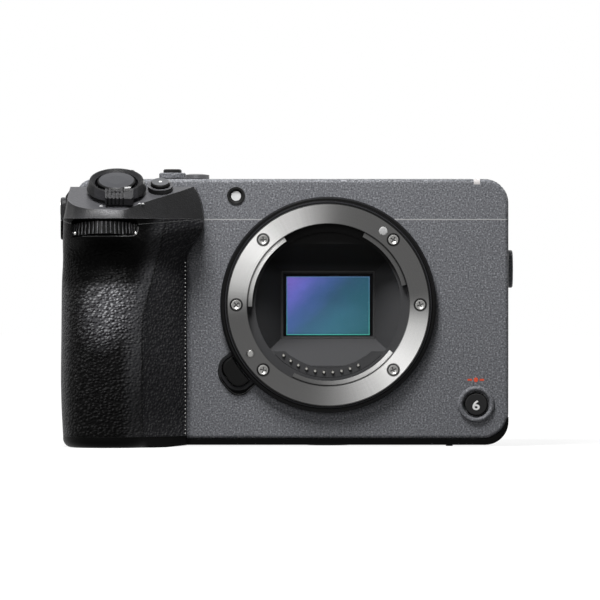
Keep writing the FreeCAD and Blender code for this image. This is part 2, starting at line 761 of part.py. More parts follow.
def image_sensor():
    return lens_box(SENSOR_HALF, (SENSOR_FACE_Y, SENSOR_BACK_Y))


def sensor_glass():
    return lens_box(SENSOR_GLASS_HALF, (SENSOR_FACE_Y - SENSOR_GLASS_THICK, SENSOR_FACE_Y))


def sensor_carrier():
    """Coil carrier behind the sensor, with a coil pocket at each side."""
    plate = lens_box(CARRIER_HALF, (SENSOR_BACK_Y, CARRIER_BACK_Y))
    plate = plate.makeChamfer(CARRIER_BEVEL, along_edges(plate, Y_AXIS))
    for side in (-1, 1):
        pocket = lens_box(COIL_POCKET_HALF, (SENSOR_BACK_Y - OVER, SENSOR_BACK_Y + COIL_POCKET_DEPTH))
        pocket.translate(V(side * (SENSOR_HALF[0] + COIL_POCKET_SPACE), 0, 0))
        plate = plate.cut(pocket)
    return plate


def sensor_yoke():
    outer = lens_box(YOKE_HALF, (YOKE_FRONT_Y, YOKE_BACK_Y))
    inner_half = [half - bar for half, bar in zip(YOKE_HALF, YOKE_BAR)]
    return outer.cut(lens_box(inner_half, (YOKE_FRONT_Y - OVER, YOKE_BACK_Y + OVER)))


def chassis():
    """Front plate with the mount boss, two arms, and the stabiliser's back plate."""
    plate_front = FRONT_Y + WALL
    plate_back = plate_front + CHASSIS_PLATE_THICK
    half = CHASSIS_PLATE_HALF
    plate = box((-half, half), (plate_front, plate_back), CHASSIS_Z)
    boss = lens_cylinder(RING_R, RING_BACK_Y, plate_back)
    frame = plate.fuse(boss)
    side_z = (LENS_Z - YOKE_HALF[1], LENS_Z + YOKE_HALF[1])
    for side in (-1, 1):
        arm_x = sorted((side * half, side * (half - CHASSIS_ARM)))
        frame = frame.fuse(box(arm_x, (plate_front, STAGE_BACK_Y), side_z))
    frame = frame.fuse(box((-half, half), (STAGE_FRONT_Y, STAGE_BACK_Y), side_z))
    for x, z in BOARD_POSTS:
        frame = frame.fuse(cylinder(BOARD_POST_R, (x, STAGE_BACK_Y, z), (x, BOARD_Y, z)))
    hole = lens_cylinder(BAFFLE_R + GAP, RING_BACK_Y - OVER, plate_back + OVER)
    frame = frame.cut(hole)
    for angle in SCREW_ANGLES:
        start = on_circle(SCREW_CIRCLE_R, angle, RING_BACK_Y - OVER)
        end = on_circle(SCREW_CIRCLE_R, angle, plate_back + OVER)
        frame = frame.cut(cylinder(MOUNT_SCREW_SHANK_R, start, end))
    frame = frame.cut(lock_pin_bore(RING_BACK_Y - OVER, plate_back + THROUGH))
    frame = frame.cut(release_stem(RUNNING, plate_front - OVER, plate_back + THROUGH))
    return frame.removeSplitter()


# Housing shells


def body_outline(left, right, low, high, right_low_r, left_high_r, right_high_r):
    """Front outline as a face in the plane y = 0, with its own radius at three corners."""

    def corner(cx, cz, radius, start, end):
        mid_angle = math.radians((start + end) / 2)
        ends = [
            V(cx + radius * math.cos(math.radians(a)), 0, cz + radius * math.sin(math.radians(a)))
            for a in (start, end)
        ]
        middle = V(cx + radius * math.cos(mid_angle), 0, cz + radius * math.sin(mid_angle))
        return ends[0], Part.Arc(ends[0], middle, ends[1]).toShape(), ends[1]

    low_corner = corner(right - right_low_r, low + right_low_r, right_low_r, 270, 360)
    high_corner = corner(right - right_high_r, high - right_high_r, right_high_r, 0, 90)
    left_corner = corner(left + left_high_r, high - left_high_r, left_high_r, 90, 180)
    start = V(left, 0, low)
    edges = [
        Part.makeLine(start, low_corner[0]),
        low_corner[1],
        Part.makeLine(low_corner[2], high_corner[0]),
        high_corner[1],
        Part.makeLine(high_corner[2], left_corner[0]),
        left_corner[1],
        Part.makeLine(left_corner[2], start),
    ]
    return Part.Face(Part.Wire(edges))


def housing_block(y, inset=0.0, low=COVER_LOW_Z, low_r=COVER_CORNER_R, left=BODY_LEFT):
    """Block of the whole housing outline between two depths, made smaller all round by inset."""
    face = body_outline(
        left + inset,
        BODY_RIGHT - inset,
        low + inset,
        TOP_Z - inset,
        low_r - inset,
        LEFT_SHOULDER_R - inset,
        CORNER_R - inset,
    )
    block = face.extrude(V(0, y[1] - y[0], 0))
    block.translate(V(0, y[0], 0))
    return block


def on_right(bounds):
    return bounds.XMin > BODY_RIGHT - COVER_CORNER_R - TINY


def on_right_or_top(bounds):
    return on_right(bounds) or bounds.ZMin > TOP_Z - CORNER_R - TINY


def on_either_side(bounds):
    return bounds.ZMin < PARTING_Z and (on_right(bounds) or bounds.XMax < GRIP_LEFT + TINY)


def face_rounded(block, face_y, radius, wanted=on_right_or_top):
    """Rounds the wanted edges of a housing block's front or rear face."""
    edges = []
    for edge in block.Edges:
        b = edge.BoundBox
        if abs(b.YMax - face_y) < TINY and b.YLength < TINY and wanted(b):
            edges.append(edge)
    return block.makeFillet(radius, edges)


COVER_LEFT = -48.0
COLLAR_HOLE_R = COLLAR_SPIGOT_R + FIT


def collar_hole():
    return lens_cylinder(COLLAR_HOLE_R, FRONT_Y - THROUGH, FRONT_Y + WALL + OVER)


def front_cover():
    """Front wall with a short wrap round its right side."""
    outer = face_rounded(housing_block((FRONT_Y, FRONT_WRAP_Y)), FRONT_Y, EDGE_R)
    inner = housing_block((FRONT_Y + WALL, FRONT_WRAP_Y + OVER), WALL)
    cover = outer.cut(inner)
    wrap_y = (FRONT_Y - OVER, FRONT_WRAP_Y + OVER)
    cover = cover.common(box((COVER_LEFT, FAR), wrap_y, (0, PARTING_Z - GAP / 2)))
    cover = cover.cut(collar_hole())
    cover = cover.cut(release_recess())
    for place in CASE_SCREWS:
        cover = cover.cut(case_screw(place, GAP / 2))
    x, z = REC_AT
    recess = cylinder(REC_RING_R[0], (x, FRONT_Y - OVER, z), (x, FRONT_Y + WALL / 2, z))
    through = cylinder(REC_BUTTON_R + STEM_FIT, (x, FRONT_Y - OVER, z), (x, FRONT_Y + THROUGH, z))
    return cover.cut(recess).cut(through)


def top_cover():
    outer = face_rounded(housing_block((FRONT_Y, REAR_Y)), FRONT_Y, EDGE_R)
    outer = face_rounded(outer, REAR_Y, EDGE_R)
    inner = housing_block((FRONT_Y + WALL, REAR_Y - WALL), WALL)
    cover = outer.cut(inner)
    cover = cover.common(box((-FAR, FAR), (-FAR, FAR), (PARTING_Z + GAP / 2, FAR)))
    cover = cover.cut(collar_hole())
    wx, wz = WINDOW_AT
    cover = cover.cut(cylinder(BEZEL_R + FIT, (wx, FRONT_Y - OVER, wz), (wx, FRONT_Y + WALL + OVER, wz)))
    for x, y in TOP_BUTTONS + (POWER_AT,):
        cover = cover.cut(cylinder(STEM_R + STEM_FIT, (x, y, TOP_Z - THROUGH), (x, y, TOP_Z + OVER)))
    for x, y in TOP_THREADS:
        cover = cover.cut(cylinder(INSERT_R, (x, y, TOP_Z - THROUGH), (x, y, TOP_Z + OVER)))
    lamp = box(LAMP_X, (FRONT_Y - OVER, FRONT_Y + LAMP_RUN), (TOP_Z - LAMP_DROP, TOP_Z + OVER))
    cover = cover.cut(lamp)
    shoe_x = (-SHOE_HALF - FIT, SHOE_HALF + FIT)
    shoe_bed_z = SHOE_FLOOR_Z - SHOE_FLOOR_THICK
    well_x = (shoe_x[0] - WALL, shoe_x[1] + WALL)
    well = box(well_x, (SHOE_FRONT_Y - WALL, REAR_Y), (shoe_bed_z - WALL, TOP_Z - OVER))
    cover = cover.fuse(well).removeSplitter()
    cover = cover.cut(box(shoe_x, (SHOE_FRONT_Y, REAR_Y + OVER), (shoe_bed_z, TOP_Z + OVER)))
    cover = cover.cut(rear_dial_room()).cut(lug_bed(BODY_RIGHT, 1, LUG_BED))
    return cover.fuse(rear_dial_boss()).removeSplitter()


def rear_dial_room():
    x, y, z = REAR_DIAL_AT
    half = DIAL_THICK / 2 + DIAL_SIDE_GAP
    round_room = cylinder(REAR_DIAL_R + DIAL_RIM_GAP, (x, y, z - half), (x, y, z + half))
    window = box((x - REAR_WINDOW_HALF, x + REAR_WINDOW_HALF), (y, REAR_Y + OVER), (z - half, z + half))
    return round_room.fuse(window)


def rear_dial_boss():
    """Boss under the roof that holds the top of the rear dial's axle."""
    x, y, z = REAR_DIAL_AT
    low = z + DIAL_THICK / 2 + DIAL_SIDE_GAP
    boss = cylinder(AXLE_R * 2, (x, y, low), (x, y, TOP_Z - WALL))
    return boss.cut(cylinder(AXLE_R + AXLE_FIT, (x, y, low - OVER), (x, y, TOP_Z - WALL)))


def rear_cover():
    """Back wall with the monitor bay and a thumb rest."""
    low, high = COVER_LOW_Z, PARTING_Z - GAP / 2
    outer = housing_block((REAR_SPLIT_Y + GAP, REAR_Y), left=GRIP_LEFT)
    outer = face_rounded(outer, REAR_Y, EDGE_R, on_either_side)
    outer = outer.common(box((-FAR, FAR), (-FAR, FAR), (low - OVER, high)))
    outer = outer.fuse(thumb_rest()).removeSplitter()
    floor_y = bay_floor_y()
    room_z = (low + WALL, high - WALL)
    control_x = (GRIP_LEFT + WALL, MONITOR_X[0] - BAY_SIDE[0])
    control_room = box(control_x, (REAR_SPLIT_Y - OVER, REAR_Y - WALL), room_z)
    bay_x = (MONITOR_X[0] - BAY_SIDE[1], BODY_RIGHT - COVER_CORNER_R)
    bay_room = box(bay_x, (REAR_SPLIT_Y - OVER, floor_y - WALL), room_z)
    bay = box(
        (MONITOR_X[0] - BAY_GAP, BODY_RIGHT + OVER),
        (floor_y, REAR_Y + THROUGH),
        (MONITOR_Z[0] - BAY_GAP, MONITOR_Z[1] + BAY_GAP),
    )
    cover = outer.cut(control_room).cut(bay_room).cut(bay)
    for place in CASE_SCREWS:
        cover = cover.cut(case_screw(place, GAP / 2))
    for x, z in REAR_BUTTONS.values():
        cover = cover.cut(rear_cylinder(REAR_BUTTON_R + BUTTON_FIT, REAR_SPLIT_Y, x, z))
    cover = cover.cut(rear_cylinder(WHEEL_R + RUNNING, REAR_Y - WHEEL_SINK, *WHEEL_AT))
    cover = cover.cut(rear_cylinder(WHEEL_STEM_R + STEM_FIT, REAR_SPLIT_Y, *WHEEL_AT))
    cover = cover.cut(rear_cylinder(JOYSTICK_R + JOYSTICK_SWING, REAR_Y - WALL, *JOYSTICK_AT))
    for block in gimbal_bearings():
        cover = cover.fuse(block)
    return cover.cut(gimbal_pins(GIMBAL_PIN_FIT)).removeSplitter()


def rear_cylinder(radius, start_y, x, z):
    """Cutter from a depth out through the rear face."""
    return cylinder(radius, (x, start_y, z), (x, REAR_Y + THROUGH, z))


def gimbal_bearings():
    """Blocks behind the wall, left and right of the joystick, that hold the gimbal's pins."""
    x, z = JOYSTICK_AT
    near = GIMBAL_R[1] + RUNNING
    blocks = []
    for side in (-1, 1):
        block_x = (x + side * near, x + side * (near + GIMBAL_BLOCK[0]))
        block_z = (z - GIMBAL_BLOCK[1], z + GIMBAL_BLOCK[1])
        blocks.append(box(block_x, (GIMBAL_Y[0], REAR_Y - WALL), block_z))
    return blocks


def gimbal_pins(clearance):
    x, z = JOYSTICK_AT
    y = sum(GIMBAL_Y) / 2
    reach = GIMBAL_R[1] + RUNNING + GIMBAL_BLOCK[0] / 2 + clearance
    return cylinder(GIMBAL_PIN_R + clearance, (x - reach, y, z), (x + reach, y, z))


def thumb_rest():
    """Ridge for the thumb, an arc in plan with eased ends."""
    left, right = THUMB_X
    start = V(left, REAR_Y - THUMB_START, 0)
    end = V(right, REAR_Y - THUMB_END, 0)
    crown = V(left + (right - left) * THUMB_CROWN, REAR_Y + THUMB_PROUD, 0)
    arc = Part.Arc(start, crown, end).toShape()
    back = [V(right, REAR_Y - THUMB_ROOT[1], 0), V(left, REAR_Y - THUMB_ROOT[0], 0)]
    lines = [Part.makeLine(end, back[0]), Part.makeLine(back[0], back[1]), Part.makeLine(back[1], start)]
    ridge = Part.Face(Part.Wire([arc] + lines)).extrude(V(0, 0, THUMB_Z[1] - THUMB_Z[0]))
    ridge.translate(V(0, 0, THUMB_Z[0]))
    ends = [e for e in ridge.Edges if e.BoundBox.ZLength < TINY and e.BoundBox.YMax > REAR_Y + THUMB_END]
    return ridge.makeFillet(THUMB_EDGE_R, ends)


def base_plate():
    """Bottom plate that turns up round the housing's lower corner, with the grip's foot."""
    body_y = (FRONT_Y, REAR_Y)
    block = housing_block(body_y, 0.0, BASE_Z, BASE_CORNER_R)
    block = block.common(box((COVER_LEFT, FAR), (-FAR, FAR), (0, BASE_WRAP_TOP)))
    covers = housing_block((FRONT_Y - OVER, REAR_Y + OVER), 0.0, COVER_LOW_Z - GAP / 2, COVER_CORNER_R)
    plate = block.cut(covers)
    plate = plate.fuse(grip_foot()).removeSplitter()
    pad = cylinder(SOCKET_PAD_R, (0, 0, 0), (0, 0, BASE_Z + STEM_FIT))
    plate = plate.fuse(pad)
    for x, y in FOOT_NUBS:
        plate = plate.fuse(cylinder(FOOT_NUB_R, (x, y, 0), (x, y, BASE_Z + STEM_FIT)))
    plate = plate.cut(cylinder(SOCKET_INSERT_R, (0, 0, -OVER), (0, 0, THROUGH)))
    x, y = door_x(), door_y()
    opening_x = (x[0] - DOOR_GAP, x[1] + DOOR_GAP)
    opening_y = (y[0] - DOOR_GAP, y[1] + DOOR_GAP)
    plate = plate.cut(box(opening_x, opening_y, (-OVER, THROUGH)))
    plate = plate.cut(door_pins(GAP)).cut(latch_tongue(GAP, 0.0))
    for place in CASE_SCREWS:
        plate = plate.cut(case_screw(place, GAP / 2))
    return plate


def grip_foot():
    """Foot under the grip, which runs up to the base plate beside it in a shallow slope."""
    section = GRIP_SECTIONS[0]
    foot = Part.Face(grip_section_wire(section, REAR_Y)).extrude(V(0, 0, FOOT_HEIGHT - GAP / 2))
    foot.translate(V(0, 0, -section[0]))
    start, end = FOOT_SLOPE
    rim = [e for e in foot.Edges if e.BoundBox.ZMax < TINY and e.BoundBox.XMax < start[0] - 1]
    outside = [e for e in rim if e.BoundBox.YMin < FRONT_Y - 1 or e.BoundBox.XMax < BODY_LEFT]
    foot = foot.makeFillet(FOOT_EDGE_R, outside)
    strip_x = (COVER_LEFT - OVER, section[7])
    foot = foot.fuse(box(strip_x, (FRONT_Y, REAR_Y), (0, COVER_LOW_Z - GAP / 2)))
    foot = foot.cut(box((-FAR, 0), (REAR_SPLIT_Y, FAR), (COVER_LOW_Z - GAP / 2, THROUGH)))
    outline = (start, end, (0, end[1]), (0, -OVER), (start[0], -OVER))
    corners = [V(x, -FAR, z) for x, z in outline]
    wedge = Part.Face(Part.makePolygon(corners + corners[:1])).extrude(V(0, 2 * FAR, 0))
    return foot.cut(wedge)


# Grip


def bezier(*points):
    curve = Part.BezierCurve()
    curve.setPoles([V(*p) for p in points])
    return curve.toShape()


def grip_section_wire(section, back_y):
    """Closed plan outline: left side, round front corner, crown to crease, flank, inner side."""
    z, left, corner_y, crown_x, front_y, crease_x, crease_y, inner_x, inner_y = section
    seat_x = inner_x + GRIP_INNER_STEP
    seat_y = FRONT_Y - SEAT_GAP
    reach = GRIP_ROUND
    flank_x, flank_y = inner_x - crease_x, inner_y - crease_y
    near, far = GRIP_FLANK
    edges = [
        Part.makeLine(V(left, back_y, z), V(left, corner_y, z)),
        bezier(
            (left, corner_y, z),
            (left, corner_y + (front_y - corner_y) * reach, z),
            (crown_x + (left - crown_x) * reach, front_y, z),
            (crown_x, front_y, z),
        ),
        bezier(
            (crown_x, front_y, z),
            (crown_x + (crease_x - crown_x) * reach, front_y, z),
            (crease_x - GRIP_CREASE_PULL[0], crease_y - GRIP_CREASE_PULL[1], z),
            (crease_x, crease_y, z),
        ),
        bezier(
            (crease_x, crease_y, z),
            (crease_x + flank_x * near[0], crease_y + flank_y * near[1], z),
            (crease_x + flank_x * far[0], crease_y + flank_y * far[1], z),
            (inner_x, inner_y, z),
        ),
        Part.makeLine(V(inner_x, inner_y, z), V(seat_x, seat_y, z)),
    ]
    inner_corners = [V(seat_x, seat_y, z), V(left, back_y, z)]
    if back_y > seat_y:
        inner_corners[1:1] = [V(COVER_LEFT - GAP, seat_y, z), V(COVER_LEFT - GAP, back_y, z)]
    for start, end in zip(inner_corners, inner_corners[1:]):
        edges.append(Part.makeLine(start, end))
    return Part.Wire(edges)


def grip_form():
    """Outer form of the grip below the deck's parting line."""
    wires = [grip_section_wire(s, REAR_SPLIT_Y) for s in GRIP_SECTIONS]
    grip = Part.makeLoft(wires, True, False)
    return grip.common(box((-FAR, FAR), (-FAR, FAR), (FOOT_HEIGHT, PARTING_Z - GAP / 2)))


def left_lug_boss():
    """Raised seat of the left strap lug, which crosses the parting line between grip and deck."""
    x = (LUG_BOSS_FACE_X, SHOULDER_SIDE_X + LUG_BOSS_ROOT)
    y = (LUG_Y[0] - LUG_BOSS_SIDE, LUG_Y[1] + LUG_BOSS_SIDE)
    z = (PARTING_Z - LUG_BOSS_DROP, SHOULDER_BREAK[1])
    boss = rounded_box(x, y, z, X_AXIS, LUG_BOSS_CORNER_R)
    rim = [e for e in boss.Edges if e.BoundBox.XMax < LUG_BOSS_FACE_X + TINY]
    return boss.makeFillet(LUG_BOSS_EDGE_R, rim)


def grip_shell():
    """Rubber-clad grip with the battery chamber, the front dial's slot and the card door's bed."""
    below_deck = box((-FAR, FAR), (-FAR, FAR), (0, PARTING_Z - GAP / 2))
    grip = grip_form().fuse(left_lug_boss().common(below_deck))
    grip = grip.cut(battery_chamber()).cut(front_dial_room())
    window_y = (-FAR, FRONT_WINDOW_BACK_Y)
    grip = grip.cut(rounded_box(FRONT_WINDOW_X, window_y, FRONT_WINDOW_Z, Y_AXIS, FRONT_WINDOW_CORNER_R))
    grip = grip.cut(side_door_bed(CARD_DOOR))
    well_x = (GRIP_LEFT, GRIP_LEFT + CARD_DOOR_THICK + CARD_WELL_DEPTH)
    well_y = (CARD_DOOR_Y[0] + CARD_LEDGE, CARD_DOOR_Y[1] - 2 * CARD_LEDGE)
    well_z = (CARD_DOOR_Z[0] + CARD_LEDGE, CARD_DOOR_Z[1] - CARD_LEDGE)
    return grip.cut(box(well_x, well_y, well_z))


def front_dial_room():
    thick = DIAL_THICK + 2 * DIAL_SIDE_GAP
    room = Part.makeCylinder(DIAL_R + DIAL_RIM_GAP, thick, V(0, 0, -thick / 2))
    length = DIAL_THICK + 2 * (FRONT_AXLE_ENDS + AXLE_FIT)
    bearing = Part.makeCylinder(AXLE_R + AXLE_FIT, length, V(0, 0, -length / 2))
    return placed_front_dial(room.fuse(bearing))


def placed_front_dial(shape):
    shape.rotate(V(0, 0, 0), X_AXIS, -FRONT_DIAL_TILT)
    shape.translate(V(*FRONT_DIAL_AT))
    return shape


def deck_point(up_slope):
    """Point of the deck at a distance up its slope from the front ridge."""
    slope = math.radians(DECK_SLOPE)
    return DECK_FRONT[0] + up_slope * math.cos(slope), DECK_FRONT[1] + up_slope * math.sin(slope)


def on_deck(shape, x=0.0, up_slope=0.0):
    """Moves a shape from its own axes, with the lever's axis as +Z, onto the deck."""
    shape.translate(V(x, up_slope, 0))
    shape.rotate(V(0, 0, 0), X_AXIS, DECK_SLOPE)
    y, z = deck_point(LEVER_UP_SLOPE)
    shape.translate(V(LEVER_X, y, z))
    return shape


def grip_deck():
    """Upper part of the grip's head: a deck that slopes to the front, with its pedestals."""
    wires = [grip_section_wire(s, FRONT_Y - SEAT_GAP) for s in DECK_SECTIONS]
    head = Part.makeLoft(wires, True, False)
    deck_y, deck_z = DECK_FRONT
    rise = math.tan(math.radians(DECK_SLOPE))
    flat_y = deck_y + (DECK_TOP_Z - deck_z) / rise
    low = PARTING_Z + GAP / 2
    front_y = deck_y - THROUGH
    side = [
        V(-FAR, front_y, low),
        V(-FAR, front_y, deck_z - THROUGH * rise),
        V(-FAR, flat_y, DECK_TOP_Z),
        V(-FAR, FRONT_Y + OVER, DECK_TOP_Z),
        V(-FAR, FRONT_Y + OVER, low),
    ]
    below_deck = Part.Face(Part.makePolygon(side + side[:1])).extrude(V(FAR, 0, 0))
    head = head.common(below_deck)
    head = head.fuse(shoulder())
    x, up = DECK_BUTTON_AT
    head = head.fuse(on_deck(upright(PEDESTAL_R, -PEDESTAL_ROOT, PEDESTAL_HEIGHT)))
    head = head.fuse(on_deck(upright(DECK_COLLAR_R, -DECK_COLLAR_ROOT, DECK_COLLAR_HEIGHT), x, up))
    head = head.removeSplitter()
    head = head.cut(on_deck(upright(SHUTTER_STEM_R + BUTTON_FIT, -SHUTTER_WELL, THROUGH)))
    head = head.cut(on_deck(upright(DECK_BUTTON_R + BUTTON_FIT, 0, THROUGH), x, up))
    return head.cut(on_deck(upright(STEM_R + BUTTON_FIT, -DECK_BUTTON_WELL, THROUGH), x, up))


def upright(radius, low, high):
    """Cylinder around +Z between two heights."""
    return cylinder(radius, (0, 0, low), (0, 0, high))


def shoulder():
    """Strip that carries the deck's left edge back along the housing's rounded shoulder."""
    low = PARTING_Z + GAP / 2
    front_y = FRONT_Y - SEAT_GAP
    inner_x = BODY_LEFT + LEFT_SHOULDER_R
    outer = [(SHOULDER_SIDE_X, low), SHOULDER_BREAK, SHOULDER_CREST]
    outline = outer + [(inner_x, SHOULDER_CREST[1]), (inner_x, low)]
    corners = [V(x, front_y, z) for x, z in outline]
    strip = Part.Face(Part.makePolygon(corners + corners[:1])).extrude(V(0, REAR_Y - front_y, 0))
    strip = strip.cut(housing_block((front_y - OVER, REAR_Y + OVER)))
    strip = strip.fuse(left_lug_boss().common(box((-FAR, FAR), (-FAR, FAR), (low, FAR))))
    strip = strip.cut(lug_bed(LUG_BOSS_FACE_X, -1, LUG_THICK - LUG_PROUD))
    pocket_y = (LUG_Y[0] + LUG_RIM, LUG_Y[1] - LUG_RIM)
    pocket_z = (LUG_Z[0] + LUG_RIM, LUG_Z[1] - LUG_RIM)
    return strip.cut(box((LUG_BOSS_FACE_X - OVER, SHOULDER_SIDE_X + LUG_POCKET), pocket_y, pocket_z))


# Deck controls


def revolved_local(profile):
    corners = [V(r, 0, z) for r, z in profile]
    face = Part.Face(Part.makePolygon(corners + corners[:1]))
    return face.revolve(V(0, 0, 0), Z_AXIS, 360)


def zoom_lever():
    """Ring round the shutter button with a ribbed finger tab at its front."""
    low = PEDESTAL_HEIGHT + RUNNING
    top = low + LEVER_HEIGHT
    ring = revolved_local(
        (
            (LEVER_INNER_R, low),
            (LEVER_R[0] - LEVER_LOW_BEVEL[0], low),
            (LEVER_R[0], low + LEVER_LOW_BEVEL[1]),
            (LEVER_R[1], top - GAP),
            (LEVER_BOWL_R, top),
            (LEVER_INNER_R, top - LEVER_BOWL_DEPTH),
        )
    )
    left, right = LEVER_TAB_X
    crest = top + LEVER_TAB_RISE
    knee = low + LEVER_TAB_FACE
    root_y = -LEVER_INNER_R - LEVER_TAB_ROOT
    tab = side_prism(
        ((root_y, low), (-LEVER_TAB_R, low), (-LEVER_TAB_R, knee), (root_y, crest)), left, right
    )
    tips = [e for e in along_edges(tab, Z_AXIS) if e.BoundBox.YMax < -LEVER_TAB_R + TINY]
    tab = tab.makeFillet(LEVER_TAB_CORNER_R, tips)
    pitch = (right - left) * LEVER_GROOVE_ZONE / LEVER_GROOVES
    groove_y = -LEVER_TAB_R + LEVER_GROOVE_DEPTH
    groove = (
        (groove_y, low - OVER),
        (groove_y, knee),
        (root_y + LEVER_GROOVE_DEPTH, crest),
        (-LEVER_TAB_R - OVER, crest + OVER),
        (-LEVER_TAB_R - OVER, low - OVER),
    )
    for k in range(LEVER_GROOVES):
        x = left + LEVER_GROOVE_START + pitch * k
        tab = tab.cut(side_prism(groove, x, x + pitch * LEVER_GROOVE_SHARE))
    return on_deck(ring.fuse(tab).removeSplitter())


def side_prism(corners, left, right):
    """Form with an outline of (y, z) corners between two x values."""
    points = [V(left, y, z) for y, z in corners]
    return Part.Face(Part.makePolygon(points + points[:1])).extrude(V(right - left, 0, 0))


def shutter_button():
    low = PEDESTAL_HEIGHT + RUNNING + SHUTTER_TRAVEL
    top = low + SHUTTER_HEIGHT
    cap = revolved_local(
        (
            (0, low),
            (SHUTTER_R, low),
            (SHUTTER_R, top - SHUTTER_CROWN[1]),
            (SHUTTER_R - SHUTTER_CROWN[1], top - SHUTTER_CROWN[0]),
            (SHUTTER_R / 2, top),
            (0, top),
        )
    )
    stem = upright(SHUTTER_STEM_R, -SHUTTER_STEM_DROP, low)
    return on_deck(cap.fuse(stem).removeSplitter())


def button_cap(radius, low, top, stem_low):
    """Round push button with a softened rim and a stem below it."""
    return revolved_local(
        (
            (0, stem_low),
            (STEM_R, stem_low),
            (STEM_R, low),
            (radius, low),
            (radius, top - CAP_BEVEL),
            (radius - CAP_BEVEL, top),
            (0, top),
        )
    )


def deck_button():
    x, up = DECK_BUTTON_AT
    low = BUTTON_TRAVEL + RUNNING
    return on_deck(button_cap(DECK_BUTTON_R, low, DECK_BUTTON_TOP, -DECK_BUTTON_DROP), x, up)


def toothed_disc(radius, thick, teeth, tooth, bore):
    """Knurled disc along Z, centred on the origin, with a blunt tooth per pitch and a bore."""
    low = -thick / 2
    pitch = 2 * math.pi / teeth
    root = radius - tooth
    corners = ((root, -TOOTH_ROOT), (radius, -TOOTH_TIP), (radius, TOOTH_TIP), (root, TOOTH_ROOT))
    points = []
    for k in range(teeth):
        for r, turn in corners:
            angle = pitch * (k + turn)
            points.append(V(r * math.cos(angle), r * math.sin(angle), low))
    rim = Part.Face(Part.makePolygon(points + points[:1])).extrude(V(0, 0, thick))
    return rim.cut(Part.makeCylinder(bore, thick + 2 * OVER, V(0, 0, low - OVER)))


def axle(length):
    return Part.makeCylinder(AXLE_R, length, V(0, 0, -length / 2))


def front_dial():
    disc = toothed_disc(DIAL_R, DIAL_THICK, DIAL_TEETH, DIAL_TOOTH, AXLE_R - TINY)
    return placed_front_dial(disc.fuse(axle(DIAL_THICK + 2 * FRONT_AXLE_ENDS)).removeSplitter())


def rear_dial():
    disc = toothed_disc(REAR_DIAL_R, DIAL_THICK, REAR_DIAL_TEETH, DIAL_TOOTH, AXLE_R - TINY)
    dial = disc.fuse(axle(DIAL_THICK + 2 * REAR_AXLE_ENDS)).removeSplitter()
    dial.translate(V(*REAR_DIAL_AT))
    return dial


# Top plate pieces


def button_rings():
    """Raised rings round the two top buttons and the front record button."""
    rings = [front_record_ring()]
    inner = TOP_BUTTON_R + RUNNING
    top = TOP_Z + BUTTON_RING_HEIGHT
    for x, y in TOP_BUTTONS:
        rings.append(
            revolved_z(
                (
                    (inner, TOP_Z),
                    (BUTTON_RING_R - BUTTON_RING_NECK, TOP_Z),
                    (BUTTON_RING_R - BUTTON_RING_NECK, TOP_Z + BUTTON_RING_NECK),
                    (BUTTON_RING_R, TOP_Z + BUTTON_RING_NECK),
                    (BUTTON_RING_R, top - CAP_BEVEL),
                    (BUTTON_RING_R - CAP_BEVEL, top),
                    (inner, top),
                ),
                x,
                y,
            )
        )
    return Part.makeCompound(rings)


def top_button(place):
    low = TOP_Z + BUTTON_TRAVEL + RUNNING
    cap = button_cap(TOP_BUTTON_R, low, TOP_Z + TOP_BUTTON_PROUD, TOP_Z - STEM_DROP)
    cap.translate(V(place[0], place[1], 0))
    return cap


def power_switch():
    """Flat knob with a lever that points to the rear right."""
    low = TOP_Z + RUNNING
    top = TOP_Z + POWER_HEIGHT
    knob = revolved_local(
        (
            (0, TOP_Z - STEM_DROP),
            (STEM_R, TOP_Z - STEM_DROP),
            (STEM_R, low),
            (POWER_R - CAP_BEVEL, low),
            (POWER_R, low + CAP_BEVEL),
            (POWER_R, top - CAP_BEVEL),
            (POWER_R / 2, top),
            (0, top),
        )
    )
    lever_z = (low, top - 2 * CAP_BEVEL)
    lever = box((-POWER_LEVER_HALF, POWER_LEVER_HALF), (0, POWER_LEVER_REACH), lever_z)
    tips = [e for e in along_edges(lever, Z_AXIS) if e.BoundBox.YMin > POWER_LEVER_REACH - TINY]
    lever = lever.makeFillet(POWER_LEVER_HALF * POWER_LEVER_ROUND, tips)
    switch = knob.fuse(lever).removeSplitter()
    switch.translate(V(POWER_AT[0], POWER_AT[1], 0))
    return switch


def accessory_shoe():
    """Channel with two inward lips, open to the rear."""
    x = (-SHOE_HALF, SHOE_HALF)
    low = SHOE_FLOOR_Z - SHOE_FLOOR_THICK
    shoe = box(x, (SHOE_FRONT_Y + GAP, REAR_Y), (low, TOP_Z))
    slot_x = (-SHOE_SLOT_HALF, SHOE_SLOT_HALF)
    slot_y = (SHOE_FRONT_Y + WALL, REAR_Y + OVER)
    shoe = shoe.cut(box(slot_x, slot_y, (SHOE_FLOOR_Z, SHOE_FLOOR_Z + SHOE_SLOT_HEIGHT)))
    throat_x = (-SHOE_THROAT_HALF, SHOE_THROAT_HALF)
    return shoe.cut(box(throat_x, slot_y, (SHOE_FLOOR_Z, TOP_Z + OVER)))


def threaded_insert(start, end):
    """Bush with a bore of the thread's size, from its open face to its blind end."""
    face, tail = V(*start), V(*end)
    run = tail - face
    bush = cylinder(INSERT_R, start, end)
    floor = run * ((run.Length - THREAD_FLOOR) / run.Length)
    return bush.cut(cylinder(THREAD_R, start, tuple(face + floor)))


def thread_inserts():
    inserts = []
    for x, y in TOP_THREADS:
        inserts.append(threaded_insert((x, y, TOP_Z), (x, y, TOP_Z - THREAD_DEPTH - THREAD_FLOOR)))
    y, z = SIDE_THREAD_AT
    face_x = BODY_RIGHT + SIDE_BOSS_PROUD
    inserts.append(threaded_insert((face_x, y, z), (face_x - THREAD_DEPTH - THREAD_FLOOR, y, z)))
    return Part.makeCompound(inserts)


